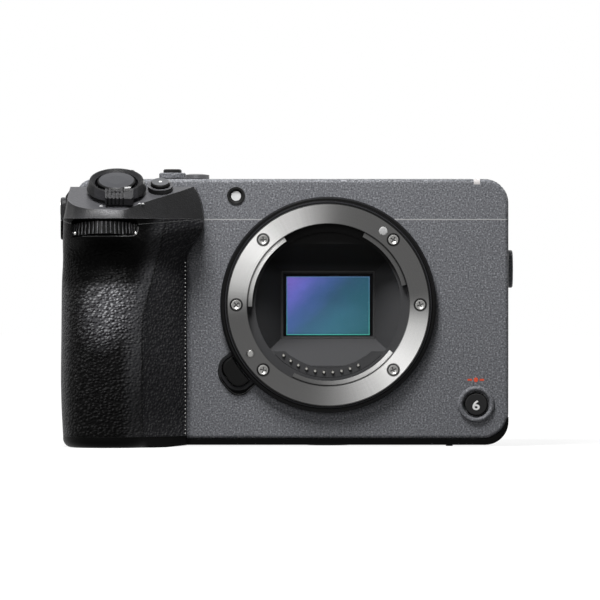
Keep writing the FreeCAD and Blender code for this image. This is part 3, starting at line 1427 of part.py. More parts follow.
def tripod_socket():
    bush = cylinder(SOCKET_INSERT_R - SEAT_GAP, (0, 0, 0), (0, 0, THREAD_DEPTH + THREAD_FLOOR))
    return bush.cut(cylinder(THREAD_R, (0, 0, -OVER), (0, 0, THREAD_DEPTH)))


def tally_lamp():
    lamp = box(LAMP_X, (FRONT_Y, FRONT_Y + LAMP_RUN), (TOP_Z - LAMP_DROP, TOP_Z))
    front = [e for e in along_edges(lamp, X_AXIS) if e.BoundBox.YMax < FRONT_Y + TINY]
    return lamp.makeFillet(EDGE_R, [e for e in front if e.BoundBox.ZMin > TOP_Z - TINY])


def light_sensor_bezel():
    x, z = WINDOW_AT
    profile = (
        (WINDOW_R + SEAT_GAP, FRONT_Y + WALL),
        (WINDOW_R + SEAT_GAP, FRONT_Y + WINDOW_SINK),
        (BEZEL_R - BEZEL_RIM, FRONT_Y - BEZEL_PROUD),
        (BEZEL_R, FRONT_Y - BEZEL_PROUD),
        (BEZEL_R, FRONT_Y + WALL),
    )
    return revolved_y(profile, x, z)


def light_sensor_window():
    x, z = WINDOW_AT
    return cylinder(WINDOW_R, (x, FRONT_Y + WINDOW_SINK, z), (x, FRONT_Y + WALL, z))


def lug_plate(face_x, side):
    """Oval eyelet plate whose outer face lies at an x, facing to one side."""
    inner_x = face_x - side * LUG_THICK
    plate = rounded_box((inner_x, face_x), LUG_Y, LUG_Z, X_AXIS, LUG_CORNER_R)
    mid_y = sum(LUG_Y) / 2
    mid_z = sum(LUG_Z) / 2
    length, height = LUG_SLOT
    slot_x = (inner_x - side, face_x + side)
    slot_y = (mid_y - length / 2, mid_y + length / 2)
    slot_z = (mid_z - height / 2, mid_z + height / 2)
    return plate.cut(rounded_box(slot_x, slot_y, slot_z, X_AXIS, LUG_SLOT_R))


def strap_lugs():
    """One lug on the left shoulder and one let into the right wall."""
    left = lug_plate(LUG_BOSS_FACE_X - LUG_PROUD, -1)
    right = lug_plate(BODY_RIGHT - LUG_BED + LUG_THICK, 1)
    return Part.makeCompound([left, right])


def lug_bed(face_x, side, depth):
    """Recess that a lug's plate sits in, in a wall whose outer face lies at an x."""
    bed_x = (face_x - side * depth, face_x + side)
    bed_y, bed_z = ((low - RUNNING, high + RUNNING) for low, high in (LUG_Y, LUG_Z))
    return rounded_box(bed_x, bed_y, bed_z, X_AXIS, LUG_CORNER_R)


def front_record_ring():
    x, z = REC_AT
    inner, outer = REC_RING_R
    profile = (
        (inner, FRONT_Y),
        (inner, FRONT_Y - REC_RING_SIDE),
        (outer - REC_RING_CREST, FRONT_Y - REC_RING_PROUD),
        (outer, FRONT_Y - REC_RING_FOOT),
        (outer, FRONT_Y),
    )
    return revolved_y(profile, x, z)


def front_record_button():
    x, z = REC_AT
    front = FRONT_Y - REC_BUTTON_PROUD
    flange = FRONT_Y + WALL + GAP
    profile = (
        (0, front),
        (REC_BUTTON_R - CAP_BEVEL, front),
        (REC_BUTTON_R, front + CAP_BEVEL),
        (REC_BUTTON_R, flange),
        (REC_FLANGE_R, flange),
        (REC_FLANGE_R, flange + REC_FLANGE_THICK),
        (0, flange + REC_FLANGE_THICK),
    )
    return revolved_y(profile, x, z)


# Side doors and ports


def door_of(y, z, face, side, thick):
    """Description of a flap in a side wall: its spans, its outer face, the way it faces."""
    return {"y": y, "z": z, "face": face, "side": side, "thick": thick}


CARD_DOOR = door_of(CARD_DOOR_Y, CARD_DOOR_Z, GRIP_LEFT, -1, CARD_DOOR_THICK)
PORT_DOORS = {
    "audio_cover": door_of(PORT_DOOR_Y, AUDIO_DOOR_Z, BODY_RIGHT, 1, PORT_DOOR_THICK),
    "hdmi_cover": door_of(PORT_DOOR_Y, HDMI_DOOR_Z, BODY_RIGHT, 1, PORT_DOOR_THICK),
    "usb_cover": door_of(PORT_DOOR_Y, USB_DOOR_Z, BODY_RIGHT, 1, PORT_DOOR_THICK),
}


def door_swing_axis(door):
    """x and y of the upright hinge axis, half a thickness in from the face and the rear edge."""
    half = door["thick"] / 2
    return door["face"] - door["side"] * half, door["y"][1] - half


def hinge_pins(door, clearance):
    """Pins above and below a side door, or with clearance the holes that they turn in."""
    low, high = door["z"]
    x, y = door_swing_axis(door)
    reach = HINGE_PIN_LENGTH + clearance
    return cylinder(HINGE_PIN_R + clearance, (x, y, low - reach), (x, y, high + reach))


def side_door(door):
    """Flat leaf with a round hinge edge, its pins, and a nail notch at the free edge."""
    x, y = door_swing_axis(door)
    face, side, thick = door["face"], door["side"], door["thick"]
    low, high = door["z"]
    leaf = box((face - side * thick, face), (door["y"][0], y), door["z"])
    leaf = leaf.fuse(cylinder(thick / 2, (x, y, low), (x, y, high)))
    notch_depth, notch_length = NAIL_NOTCH
    mid_z = (low + high) / 2
    notch_y = (door["y"][0] - OVER, door["y"][0] + notch_depth)
    notch_z = (mid_z - notch_length / 2, mid_z + notch_length / 2)
    notch = box((face - side * thick / 2, face + side), notch_y, notch_z)
    return leaf.cut(notch).fuse(hinge_pins(door, 0.0)).removeSplitter()


def side_door_bed(door):
    """Recess for a flap, with a hole for each hinge pin."""
    face, side = door["face"], door["side"]
    bed_y, bed_z = ((low - DOOR_GAP, high + DOOR_GAP) for low, high in (door["y"], door["z"]))
    bed = box((face - side * (door["thick"] + GAP), face + side), bed_y, bed_z)
    return bed.fuse(hinge_pins(door, GAP))


def card_door():
    return side_door(CARD_DOOR).common(grip_form())


PORT_BED_X = BODY_RIGHT - PORT_DOOR_THICK - GAP
PORT_MID_Y = sum(PORT_DOOR_Y) / 2


def port_block(cavity, wall, z, x):
    """Box round a socket of a cavity size on the ports' middle line."""
    half_y = cavity[0] / 2 + wall
    half_z = cavity[1] / 2 + wall
    return box(x, (PORT_MID_Y - half_y, PORT_MID_Y + half_y), (z - half_z, z + half_z))


def jack_places():
    z = sum(AUDIO_DOOR_Z) / 2
    return [(y, z) for y in JACK_Y]


def port_socket_seats():
    """Holes in the port panel that the sockets' mouths stand in."""
    x = (BODY_RIGHT - THROUGH, BODY_RIGHT)
    seats = [
        port_block(HDMI_CAVITY, SOCKET_WALL + SEAT_GAP, sum(HDMI_DOOR_Z) / 2, x),
        port_block(USB_CAVITY, SOCKET_WALL + SEAT_GAP, sum(USB_DOOR_Z) / 2, x),
    ]
    for y, z in jack_places():
        seats.append(cylinder(JACK_R + SOCKET_WALL + SEAT_GAP, (x[0], y, z), (x[1], y, z)))
    return seats


def port_sockets():
    sockets = []
    for cavity, door_z in ((HDMI_CAVITY, HDMI_DOOR_Z), (USB_CAVITY, USB_DOOR_Z)):
        z = sum(door_z) / 2
        back = PORT_BED_X - SOCKET_DEPTH
        shell = port_block(cavity, SOCKET_WALL, z, (back, PORT_BED_X))
        room = port_block(cavity, 0.0, z, (back + SOCKET_FLOOR, PORT_BED_X + OVER))
        tongue_size = (cavity[0] * SOCKET_TONGUE[0], cavity[1] * SOCKET_TONGUE[1])
        tongue = port_block(tongue_size, 0.0, z, (back, PORT_BED_X - SOCKET_FLOOR))
        sockets.append(shell.cut(room).fuse(tongue).removeSplitter())
    for y, z in jack_places():
        floor_x = PORT_BED_X - JACK_DEPTH
        barrel = cylinder(JACK_R + SOCKET_WALL, (PORT_BED_X, y, z), (floor_x - SOCKET_FLOOR, y, z))
        sockets.append(barrel.cut(cylinder(JACK_R, (PORT_BED_X + OVER, y, z), (floor_x, y, z))))
    return Part.makeCompound(sockets)


def side_thread_cylinder(radius, start_x, end_x):
    y, z = SIDE_THREAD_AT
    return cylinder(radius, (start_x, y, z), (end_x, y, z))


def port_panel():
    """Right wall between the front and rear covers, thicker round the ports, with the vent."""
    y = (FRONT_WRAP_Y + GAP, REAR_SPLIT_Y)
    outer = housing_block(y)
    inner = housing_block((y[0] - OVER, y[1] + OVER), WALL)
    side_x = (BODY_RIGHT - COVER_CORNER_R, BODY_RIGHT + THROUGH)
    panel = outer.cut(inner).common(box(side_x, (-FAR, FAR), (0, PARTING_Z - GAP / 2)))
    zone_x = (BODY_RIGHT - PORT_ZONE_THICK, BODY_RIGHT - WALL / 2)
    panel = panel.fuse(box(zone_x, *PORT_ZONE))
    boss_x = BODY_RIGHT + SIDE_BOSS_PROUD
    panel = panel.fuse(side_thread_cylinder(SIDE_BOSS_R, BODY_RIGHT - WALL, boss_x)).removeSplitter()
    boss_rim = [e for e in panel.Edges if e.BoundBox.XMin > boss_x - TINY]
    panel = panel.makeFillet(SIDE_BOSS_EDGE_R, boss_rim)
    panel = panel.cut(side_thread_cylinder(INSERT_R, BODY_RIGHT - THROUGH, BODY_RIGHT + THROUGH))
    for door in PORT_DOORS.values():
        panel = panel.cut(side_door_bed(door))
    for seat in port_socket_seats():
        panel = panel.cut(seat)
    pitch = (VENT_Z[1] - VENT_Z[0]) / VENT_SLOTS
    for k in range(VENT_SLOTS):
        low = VENT_Z[0] + pitch * k
        slot_z = (low, low + VENT_SLOT_HEIGHT)
        panel = panel.cut(box((BODY_RIGHT - THROUGH, BODY_RIGHT + OVER), VENT_Y, slot_z))
    return panel


# Battery, its door and the case screws


def battery_pack():
    x, y, z = BATTERY_CORNER
    sx, sy, sz = BATTERY_SIZE
    return rounded_box((x, x + sx), (y, y + sy), (z, z + sz), Z_AXIS, BATTERY_CORNER_R)


def battery_chamber():
    x, y, z = BATTERY_CORNER
    sx, sy, sz = BATTERY_SIZE
    g = BATTERY_GAP
    return box((x - g, x + sx + g), (y - g, y + sy + g), (0, z + sz + g))


def door_x():
    return BATTERY_CORNER[0] - DOOR_MARGIN, BATTERY_CORNER[0] + BATTERY_SIZE[0] + DOOR_MARGIN


def door_y():
    return BATTERY_CORNER[1] - DOOR_MARGIN, BATTERY_CORNER[1] + BATTERY_SIZE[1] + DOOR_MARGIN


def door_axis():
    """y and z of the battery door's hinge."""
    return door_y()[1] - DOOR_THICK / 2, DOOR_THICK / 2


def door_pins(clearance):
    y, z = door_axis()
    x0, x1 = door_x()
    reach = HINGE_PIN_LENGTH + clearance
    return cylinder(HINGE_PIN_R + clearance, (x0 - reach, y, z), (x1 + reach, y, z))


def latch_plate(clearance, travel):
    """The latch's thumb plate, or with clearance and travel the pocket that it slides in."""
    mid = sum(door_x()) / 2
    half = LATCH_SIZE[0] / 2 + clearance
    front = door_y()[0] + LATCH_INSET
    low = -OVER if clearance else LATCH_Z[0]
    y = (front - clearance, front + LATCH_SIZE[1] + travel + clearance)
    return box((mid - half, mid + half), y, (low, LATCH_Z[1] + clearance))


def latch_tongue(clearance, travel):
    """The tongue that reaches past the door's front edge into the base plate."""
    mid = sum(door_x()) / 2
    half = LATCH_TONGUE_HALF + clearance
    front = door_y()[0] - LATCH_REACH - clearance
    back = door_y()[0] + LATCH_INSET + LATCH_SIZE[1] / 2 + travel + clearance
    z = (LATCH_Z[1] - clearance, LATCH_Z[1] + LATCH_TONGUE_THICK + clearance)
    return box((mid - half, mid + half), (front, back), z)


def battery_door():
    x, y = door_x(), door_y()
    axis_y, axis_z = door_axis()
    leaf = box(x, (y[0], axis_y), (0, DOOR_THICK))
    leaf = leaf.fuse(cylinder(DOOR_THICK / 2, (x[0], axis_y, axis_z), (x[1], axis_y, axis_z)))
    leaf = leaf.cut(latch_plate(GAP, LATCH_TRAVEL)).cut(latch_tongue(GAP, LATCH_TRAVEL))
    return leaf.fuse(door_pins(0.0)).removeSplitter()


def battery_latch():
    """Sliding latch, stored drawn back; pushed to the front, its tongue locks the door."""
    plate = latch_plate(0.0, 0.0)
    mid_y = door_y()[0] + LATCH_INSET + LATCH_SIZE[1] / 2
    for k in (-1, 0, 1):
        y = mid_y + LATCH_GROOVE[0] * k
        groove_y = (y - LATCH_GROOVE[1] / 2, y + LATCH_GROOVE[1] / 2)
        plate = plate.cut(box((-FAR, 0), groove_y, (-OVER, LATCH_Z[0] + LATCH_GROOVE[2])))
    latch = plate.fuse(latch_tongue(0.0, 0.0)).removeSplitter()
    latch.translate(V(0, LATCH_TRAVEL, 0))
    return latch


def case_screw(place, clearance):
    """Countersunk screw from the base plate up through a cover's bottom wall."""
    x, y = place
    low = BASE_Z + FIT - (THROUGH if clearance else 0)
    head = cylinder(CASE_SCREW_HEAD_R + clearance, (x, y, low), (x, y, BASE_Z + CASE_SCREW_HEAD))
    shank = cylinder(CASE_SCREW_R, (x, y, BASE_Z), (x, y, COVER_LOW_Z + WALL))
    return head.fuse(shank)


def case_screws():
    return Part.makeCompound([case_screw(place, 0.0) for place in CASE_SCREWS])


# Monitor and its hinge


def monitor_shell():
    """Flat case with a recess for the glass, and a hinge barrel on a web at its right."""
    shell = rounded_box(MONITOR_X, MONITOR_Y, MONITOR_Z, Y_AXIS, MONITOR_CORNER_R)
    rim = [e for e in shell.Edges if e.BoundBox.YLength < TINY]
    shell = shell.makeFillet(MONITOR_EDGE_R, rim)
    shell = shell.cut(monitor_pane(GAP))
    x, y = HINGE_AXIS
    low, high = HINGE_Z
    web = box((MONITOR_X[1] - HINGE_R, x), (y - WEB_Y[0], y + WEB_Y[1]), HINGE_Z)
    barrel = cylinder(HINGE_R, (x, y, low), (x, y, high))
    shell = shell.fuse(web).fuse(barrel).removeSplitter()
    return shell.cut(cylinder(HINGE_CORE_R + GAP, (x, y, low - OVER), (x, y, high + OVER)))


def monitor_pane(clearance):
    """The glass, or with clearance the recess that it lies in."""
    x = (MONITOR_X[0] + MONITOR_RIM - clearance, MONITOR_X[1] - MONITOR_RIM + clearance)
    z = (MONITOR_Z[0] + MONITOR_RIM - clearance, MONITOR_Z[1] - MONITOR_RIM + clearance)
    y = (MONITOR_Y[1] - MONITOR_GLASS_THICK, MONITOR_Y[1] + (THROUGH if clearance else 0))
    return rounded_box(x, y, z, Y_AXIS, MONITOR_CORNER_R - MONITOR_RIM + clearance)


def monitor_glass():
    return monitor_pane(0.0)


def bay_floor_y():
    return MONITOR_Y[0] - BAY_BACK_GAP


def monitor_hinge():
    """Two posts on the bay's floor that hold the hinge pin above and below the barrel."""
    x, y = HINGE_AXIS
    low, high = HINGE_Z
    ends = (
        (low - RUNNING - HINGE_POST_HEIGHT, low - RUNNING),
        (high + RUNNING, high + RUNNING + HINGE_POST_HEIGHT),
    )
    hinge = cylinder(HINGE_CORE_R, (x, y, ends[0][0]), (x, y, ends[1][1]))
    half = HINGE_POST_R - STEM_FIT
    for z in ends:
        post = box((x - half, x + half), (bay_floor_y(), y), z)
        hinge = hinge.fuse(post).fuse(cylinder(HINGE_POST_R, (x, y, z[0]), (x, y, z[1])))
    return hinge.removeSplitter()


# Rear controls


def rear_button(x, z):
    """Round rear button with a flange behind the wall."""
    flange = REAR_Y - WALL - GAP
    top = REAR_Y + REAR_BUTTON_PROUD
    profile = (
        (0, flange - REAR_FLANGE[1]),
        (REAR_BUTTON_R + REAR_FLANGE[0], flange - REAR_FLANGE[1]),
        (REAR_BUTTON_R + REAR_FLANGE[0], flange),
        (REAR_BUTTON_R, flange),
        (REAR_BUTTON_R, top - CAP_BEVEL),
        (REAR_BUTTON_R - CAP_BEVEL, top),
        (0, top),
    )
    return revolved_y(profile, x, z)


def control_wheel():
    x, z = WHEEL_AT
    floor = REAR_Y - WHEEL_SINK + GAP
    top = REAR_Y + WHEEL_PROUD
    profile = (
        (WHEEL_INNER_R, floor),
        (WHEEL_R, floor),
        (WHEEL_R, top - WHEEL_BEVEL),
        (WHEEL_R - WHEEL_BEVEL, top),
        (WHEEL_INNER_R + WHEEL_BEVEL, top - WHEEL_BEVEL / 2),
        (WHEEL_INNER_R, top - WHEEL_BEVEL),
    )
    wheel = revolved_y(profile, x, z)
    for k in range(WHEEL_NOTCHES):
        a = 2 * math.pi * k / WHEEL_NOTCHES
        at = (x + WHEEL_R * math.cos(a), z + WHEEL_R * math.sin(a))
        start_y = floor + WHEEL_NOTCH[1]
        wheel = wheel.cut(cylinder(WHEEL_NOTCH[0], (at[0], start_y, at[1]), (at[0], top + OVER, at[1])))
    return wheel


def wheel_button():
    x, z = WHEEL_AT
    low = REAR_Y - WHEEL_SINK + BUTTON_TRAVEL + GAP
    top = REAR_Y + WHEEL_PROUD - WHEEL_BUTTON_SINK
    tail = REAR_Y - WALL - 1
    profile = (
        (0, tail),
        (WHEEL_STEM_R, tail),
        (WHEEL_STEM_R, low),
        (WHEEL_BUTTON_R, low),
        (WHEEL_BUTTON_R, top - CAP_BEVEL),
        (WHEEL_BUTTON_R - CAP_BEVEL, top),
        (0, top),
    )
    return revolved_y(profile, x, z)


GIMBAL_Y = (REAR_Y - WALL - GAP - GIMBAL_THICK, REAR_Y - WALL - GAP)


def joystick_gimbal():
    """Ring on two side pins that lie in the rear cover."""
    x, z = JOYSTICK_AT
    ring = tube_y(GIMBAL_R[1], GIMBAL_R[0], GIMBAL_Y, x, z)
    middle_r = sum(GIMBAL_R) / 2
    room = cylinder(middle_r, (x, GIMBAL_Y[0], z), (x, GIMBAL_Y[1], z))
    return ring.fuse(gimbal_pins(0.0).cut(room)).removeSplitter()


def joystick():
    """Domed cap on a stem whose round foot turns inside the gimbal."""
    x, z = JOYSTICK_AT
    top = REAR_Y + JOYSTICK_PROUD
    waist = REAR_Y + JOYSTICK_WAIST
    foot_r = GIMBAL_R[0] - STEM_FIT
    profile = (
        (0, GIMBAL_Y[0]),
        (foot_r, GIMBAL_Y[0]),
        (foot_r, GIMBAL_Y[1]),
        (JOYSTICK_STEM_R, GIMBAL_Y[1] + JOYSTICK_WAIST),
        (JOYSTICK_STEM_R, waist),
        (JOYSTICK_R, waist),
        (JOYSTICK_R, top - JOYSTICK_CROWN[0]),
        (JOYSTICK_R * JOYSTICK_CROWN[1], top - STEM_FIT),
        (0, top),
    )
    return revolved_y(profile, x, z)


# Inside


def main_board():
    board = box(BOARD_X, (BOARD_Y, BOARD_Y + BOARD_THICK), BOARD_Z)
    back = BOARD_Y + BOARD_THICK
    mid_x, mid_z = CHIP_AT
    chip_x = (mid_x - CHIP_HALF, mid_x + CHIP_HALF)
    chip_z = (mid_z - CHIP_HALF, mid_z + CHIP_HALF)
    return board.fuse(box(chip_x, (back, back + CHIP_THICK), chip_z)).removeSplitter()


def heat_sink():
    base_y = BOARD_Y + BOARD_THICK + CHIP_THICK
    top_y = base_y + SINK_THICK
    sink = box(SINK_X, (base_y, top_y), SINK_Z)
    pitch = (SINK_Z[1] - SINK_Z[0] - SINK_FIN_THICK) / (SINK_FINS - 1)
    for k in range(SINK_FINS):
        low = SINK_Z[0] + pitch * k
        sink = sink.fuse(box(SINK_X, (top_y, top_y + SINK_FIN_HEIGHT), (low, low + SINK_FIN_THICK)))
    return sink.removeSplitter()


def fan_housing():
    """Square case open to the vent, with an intake on its back and a pin for the rotor."""
    x, z = FAN_AT
    half = FAN_R + FAN_WALL + RUNNING * 2
    low = BOARD_Y + BOARD_THICK
    high = low + FAN_WALL * 2 + FAN_HEIGHT + RUNNING * 2
    case = box((x - half, x + half), (low, high), (z - half, z + half))
    room_half = half - FAN_WALL
    room_y = (low + FAN_WALL, high - FAN_WALL)
    case = case.cut(box((x - room_half, x + half + OVER), room_y, (z - room_half, z + room_half)))
    case = case.cut(cylinder(FAN_R * FAN_INTAKE, (x, room_y[0] + OVER, z), (x, high + OVER, z)))
    pin = cylinder(FAN_PIN_R, (x, low, z), (x, room_y[0] + FAN_HEIGHT - FAN_WALL, z))
    return case.fuse(pin).removeSplitter()


def cooling_unit():
    return Part.makeCompound([heat_sink(), fan_housing()])


def fan_rotor():
    x, z = FAN_AT
    low = BOARD_Y + BOARD_THICK + FAN_WALL + RUNNING
    rotor = tube_y(FAN_HUB_R, FAN_PIN_R + GAP, (low, low + FAN_HEIGHT), x, z)
    for k in range(FAN_BLADES):
        blade_x = (x + FAN_HUB_R - FAN_BLADE_ROOT, x + FAN_R)
        half = FAN_BLADE_THICK / 2
        blade = box(blade_x, (low + FAN_BLADE_ROOT, low + FAN_HEIGHT), (z - half, z + half))
        blade.rotate(V(x + FAN_HUB_R, 0, z), Y_AXIS, FAN_BLADE_LEAN)
        blade.rotate(V(x, 0, z), Y_AXIS, 360.0 * k / FAN_BLADES)
        rotor = rotor.fuse(blade)
    return rotor.removeSplitter()


PIECES = {
    "front_cover": front_cover,
    "top_cover": top_cover,
    "rear_cover": rear_cover,
    "base_plate": base_plate,
    "grip_shell": grip_shell,
    "grip_deck": grip_deck,
    "port_panel": port_panel,
    "chassis": chassis,
    "mount_collar": mount_collar,
    "bayonet_ring": bayonet_ring,
    "mount_screws": mount_screws,
    "lock_pin": lock_pin,
    "release_button": release_button,
    "light_baffle": light_baffle,
    "contact_block": contact_block,
    "contact_pins": contact_pins,
    "sensor_glass": sensor_glass,
    "image_sensor": image_sensor,
    "sensor_carrier": sensor_carrier,
    "sensor_yoke": sensor_yoke,
    "light_sensor_bezel": light_sensor_bezel,
    "light_sensor_window": light_sensor_window,
    "tally_lamp": tally_lamp,
    "front_record_button": front_record_button,
    "zoom_lever": zoom_lever,
    "shutter_button": shutter_button,
    "deck_button": deck_button,
    "front_dial": front_dial,
    "rear_dial": rear_dial,
    "button_rings": button_rings,
    "custom_button": lambda: top_button(TOP_BUTTONS[0]),
    "record_button": lambda: top_button(TOP_BUTTONS[1]),
    "power_switch": power_switch,
    "accessory_shoe": accessory_shoe,
    "thread_inserts": thread_inserts,
    "tripod_socket": tripod_socket,
    "strap_lugs": strap_lugs,
    "case_screws": case_screws,
    "battery_pack": battery_pack,
    "battery_door": battery_door,
    "battery_latch": battery_latch,
    "card_door": card_door,
    "port_sockets": port_sockets,
    "main_board": main_board,
    "cooling_unit": cooling_unit,
    "fan_rotor": fan_rotor,
    "monitor_hinge": monitor_hinge,
    "monitor_shell": monitor_shell,
    "monitor_glass": monitor_glass,
    "joystick_gimbal": joystick_gimbal,
    "joystick": joystick,
    "control_wheel": control_wheel,
    "wheel_button": wheel_button,
}


def make_pieces():
    pieces = {name: make() for name, make in PIECES.items()}
    for name, place in REAR_BUTTONS.items():
        pieces[name] = rear_button(*place)
    for name, door in PORT_DOORS.items():
        pieces[name] = side_door(door)
    return pieces


os.makedirs("parts", exist_ok=True)
for node, piece in make_pieces().items():
    piece.exportStep("parts/" + node + ".step")
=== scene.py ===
"""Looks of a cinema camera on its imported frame: materials, fine parts, light and camera.

Lengths are in millimetres and become metres where a mesh or a node needs them. Only the floor, the
lamps and the camera are placed in metres. The lens side faces -Y.
"""

import math

import bmesh
import bpy
from mathutils import Matrix, Vector


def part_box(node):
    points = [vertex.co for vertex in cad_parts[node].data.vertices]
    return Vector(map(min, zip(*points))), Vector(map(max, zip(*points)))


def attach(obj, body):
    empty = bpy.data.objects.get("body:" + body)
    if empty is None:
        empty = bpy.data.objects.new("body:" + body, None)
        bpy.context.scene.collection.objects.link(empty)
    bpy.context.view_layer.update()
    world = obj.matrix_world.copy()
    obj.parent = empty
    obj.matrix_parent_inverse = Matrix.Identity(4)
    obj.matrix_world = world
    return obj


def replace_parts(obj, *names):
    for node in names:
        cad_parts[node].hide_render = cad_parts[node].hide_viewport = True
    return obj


MM = 0.001

# Housing, mount and sensor.

FRONT_Y = -24.0
BODY_RIGHT = 52.4
PARTING_Z = 66.0
LENS_Z = 41.2
FLANGE_Y = -27.5
SCREW_CIRCLE_R = 26.7
SCREW_ANGLES = (0, 45, 135, 180, 225, 315)
INDEX_DOT_ANGLE = 53.3
RING_SHEEN_START = 15.0
RELEASE_ANGLE = 217.8
LOBE_ROOT_R = 31.2
REC_AT = (43.0, 12.3)
REC_MARK_AT = (42.9, 19.4)
WINDOW_HALF = (13.45, 9.75)
ACTIVE_MIDDLE_Z = 40.9
ACTIVE_HALF = (12.15, 8.55)

# Rings of painted shade and painted highlight: the radii where each starts, is full, falls off and ends.

THROAT_GROOVE_SHADE = (23.32, 23.45, 23.65, 23.80)
COLLAR_RIDGE_HIGHLIGHT = (29.65, 29.75, 30.00, 30.10)
REC_RING_HIGHLIGHT = (2.85, 3.05, 3.10, 3.25)

# Head of the grip: the sloping deck, its lever and button, the ridge over the dial with its painted
# highlight, and the lip round the dial.

DECK_SLOPE = 27.0
DECK_FRONT = (-48.0, 69.0)
DECK_BUTTON_AT = (12.6, 1.9)
LEVER_X = -61.1
LEVER_UP_SLOPE = 10.1
LEVER_GROOVE_START = -63.75
LEVER_GROOVE_PITCH = 1.10
LEVER_GROOVES = 5
RIDGE_HIGHLIGHT_AT = (-62.5, 68.3)
RIDGE_HIGHLIGHT_HALF = (5.8, 2.2)
LIP_MIDDLE_X = -64.2
LIP_LOW_Z = 60.9

# Grip: its crease, the place of the painted highlight where the palm lies, and the row of studs.

CREASE_X = -53.6
CREASE_BEND_Z = 37.0
CREASE_LEAN = 0.24
PALM_HIGHLIGHT_AT = (-63.2, 40.5)
PALM_HIGHLIGHT_HALF = (10.5, 15.0)
PALM_HIGHLIGHT_LEAN = 3.0
STUDS_X = -41.5
STUDS_LOW_Z = 3.9
STUD_PITCH = 1.18
STUD_COUNT = 43

# Dials: place of the axis, teeth, radius at their roots, and the two axes of the dial's plane.

DIALS = {
    "front_dial": ((-64.4, -40.9), 50, 9.4, "XY"),
    "rear_dial": ((-62.0, 19.9), 42, 7.9, "XY"),
    "control_wheel": ((-48.0, 29.5), 24, 9.0, "XZ"),
}

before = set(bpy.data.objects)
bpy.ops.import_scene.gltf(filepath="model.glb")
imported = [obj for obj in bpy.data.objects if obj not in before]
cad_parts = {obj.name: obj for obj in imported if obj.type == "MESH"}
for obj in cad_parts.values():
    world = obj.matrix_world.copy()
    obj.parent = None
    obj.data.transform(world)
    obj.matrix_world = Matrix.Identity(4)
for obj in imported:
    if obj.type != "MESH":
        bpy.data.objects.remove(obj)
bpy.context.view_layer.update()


# Placements and places on the object.


def on_deck(x, up, height=0.0):
    """Placement square to the sloping deck, at a distance from the lever's axis."""
    slope = math.radians(DECK_SLOPE)
    y = DECK_FRONT[0] + LEVER_UP_SLOPE * math.cos(slope)
    z = DECK_FRONT[1] + LEVER_UP_SLOPE * math.sin(slope)
    axis = Matrix.Translation((LEVER_X, y, z)) @ Matrix.Rotation(slope, 4, "X")
    return axis @ Matrix.Translation((x, up, height))


def deck_normal():
    """Direction square to the sloping deck."""
    return on_deck(0.0, 0.0).to_3x3() @ Vector((0.0, 0.0, 1.0))


def facing_front(x, y, z, turn=0.0):
    """Placement whose +Z looks out of the front (-Y) and whose +Y is up."""
    place = Matrix(((1, 0, 0, x), (0, 0, -1, y), (0, 1, 0, z), (0, 0, 0, 1)))
    return place @ Matrix.Rotation(math.radians(turn), 4, "Z")


def on_ring(degrees):
    """Place in the front plane on the circle of the mount's screws."""
    turn = math.radians(degrees)
    return SCREW_CIRCLE_R * math.cos(turn), LENS_Z + SCREW_CIRCLE_R * math.sin(turn)


def front_skin(node, x, z):
    """Depth at which a CAD node is met from the front, or None beside it."""
    far_ahead = -100.0
    start = Vector((x, far_ahead, z)) * MM
    found, place, _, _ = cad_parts[node].ray_cast(start, Vector((0.0, 1.0, 0.0)))
    return place.y / MM if found else None


def skin_line(node, start, end, steps, sunk=0.0):
    """Places along a straight line over the front of a CAD node, wherever the node is met."""
    line = []
    for step in range(steps + 1):
        x = start[0] + (end[0] - start[0]) * step / steps
        z = start[1] + (end[1] - start[1]) * step / steps
        y = front_skin(node, x, z)
        if y is not None:
            line.append((x, y + sunk, z))
    return line


# Nodes of materials and of the world.


def join(tree, value, socket):
    """Links an input to another node's output, or sets it to a plain value."""
    if isinstance(value, bpy.types.NodeSocket):
        tree.links.new(value, socket)
    else:
        socket.default_value = value


def add_node(tree, kind, inputs=None, **settings):
    """New node; its inputs go by name or by number, and settings are its own properties."""
    made = tree.nodes.new(kind)
    for key, value in settings.items():
        setattr(made, key, value)
    for key, value in (inputs or {}).items():
        join(tree, value, made.inputs[key])
    return made


def reckon(tree, operation, first, second):
    """Output of a math node."""
    return add_node(tree, "ShaderNodeMath", {0: first, 1: second}, operation=operation).outputs[0]


def sees_background(tree):
    """1 for rays from the camera, off a glossy surface or through glass, which meet a white background."""
    rays = add_node(tree, "ShaderNodeLightPath").outputs
    direct = reckon(tree, "MAXIMUM", rays["Is Camera Ray"], rays["Is Glossy Ray"])
    return reckon(tree, "MAXIMUM", direct, rays["Is Transmission Ray"])


def colour(value):
    """A colour from a grey level or three channels; sockets pass through."""
    if isinstance(value, bpy.types.NodeSocket):
        return value
    if isinstance(value, (int, float)):
        value = (value, value, value)
    return (*value, 1.0)


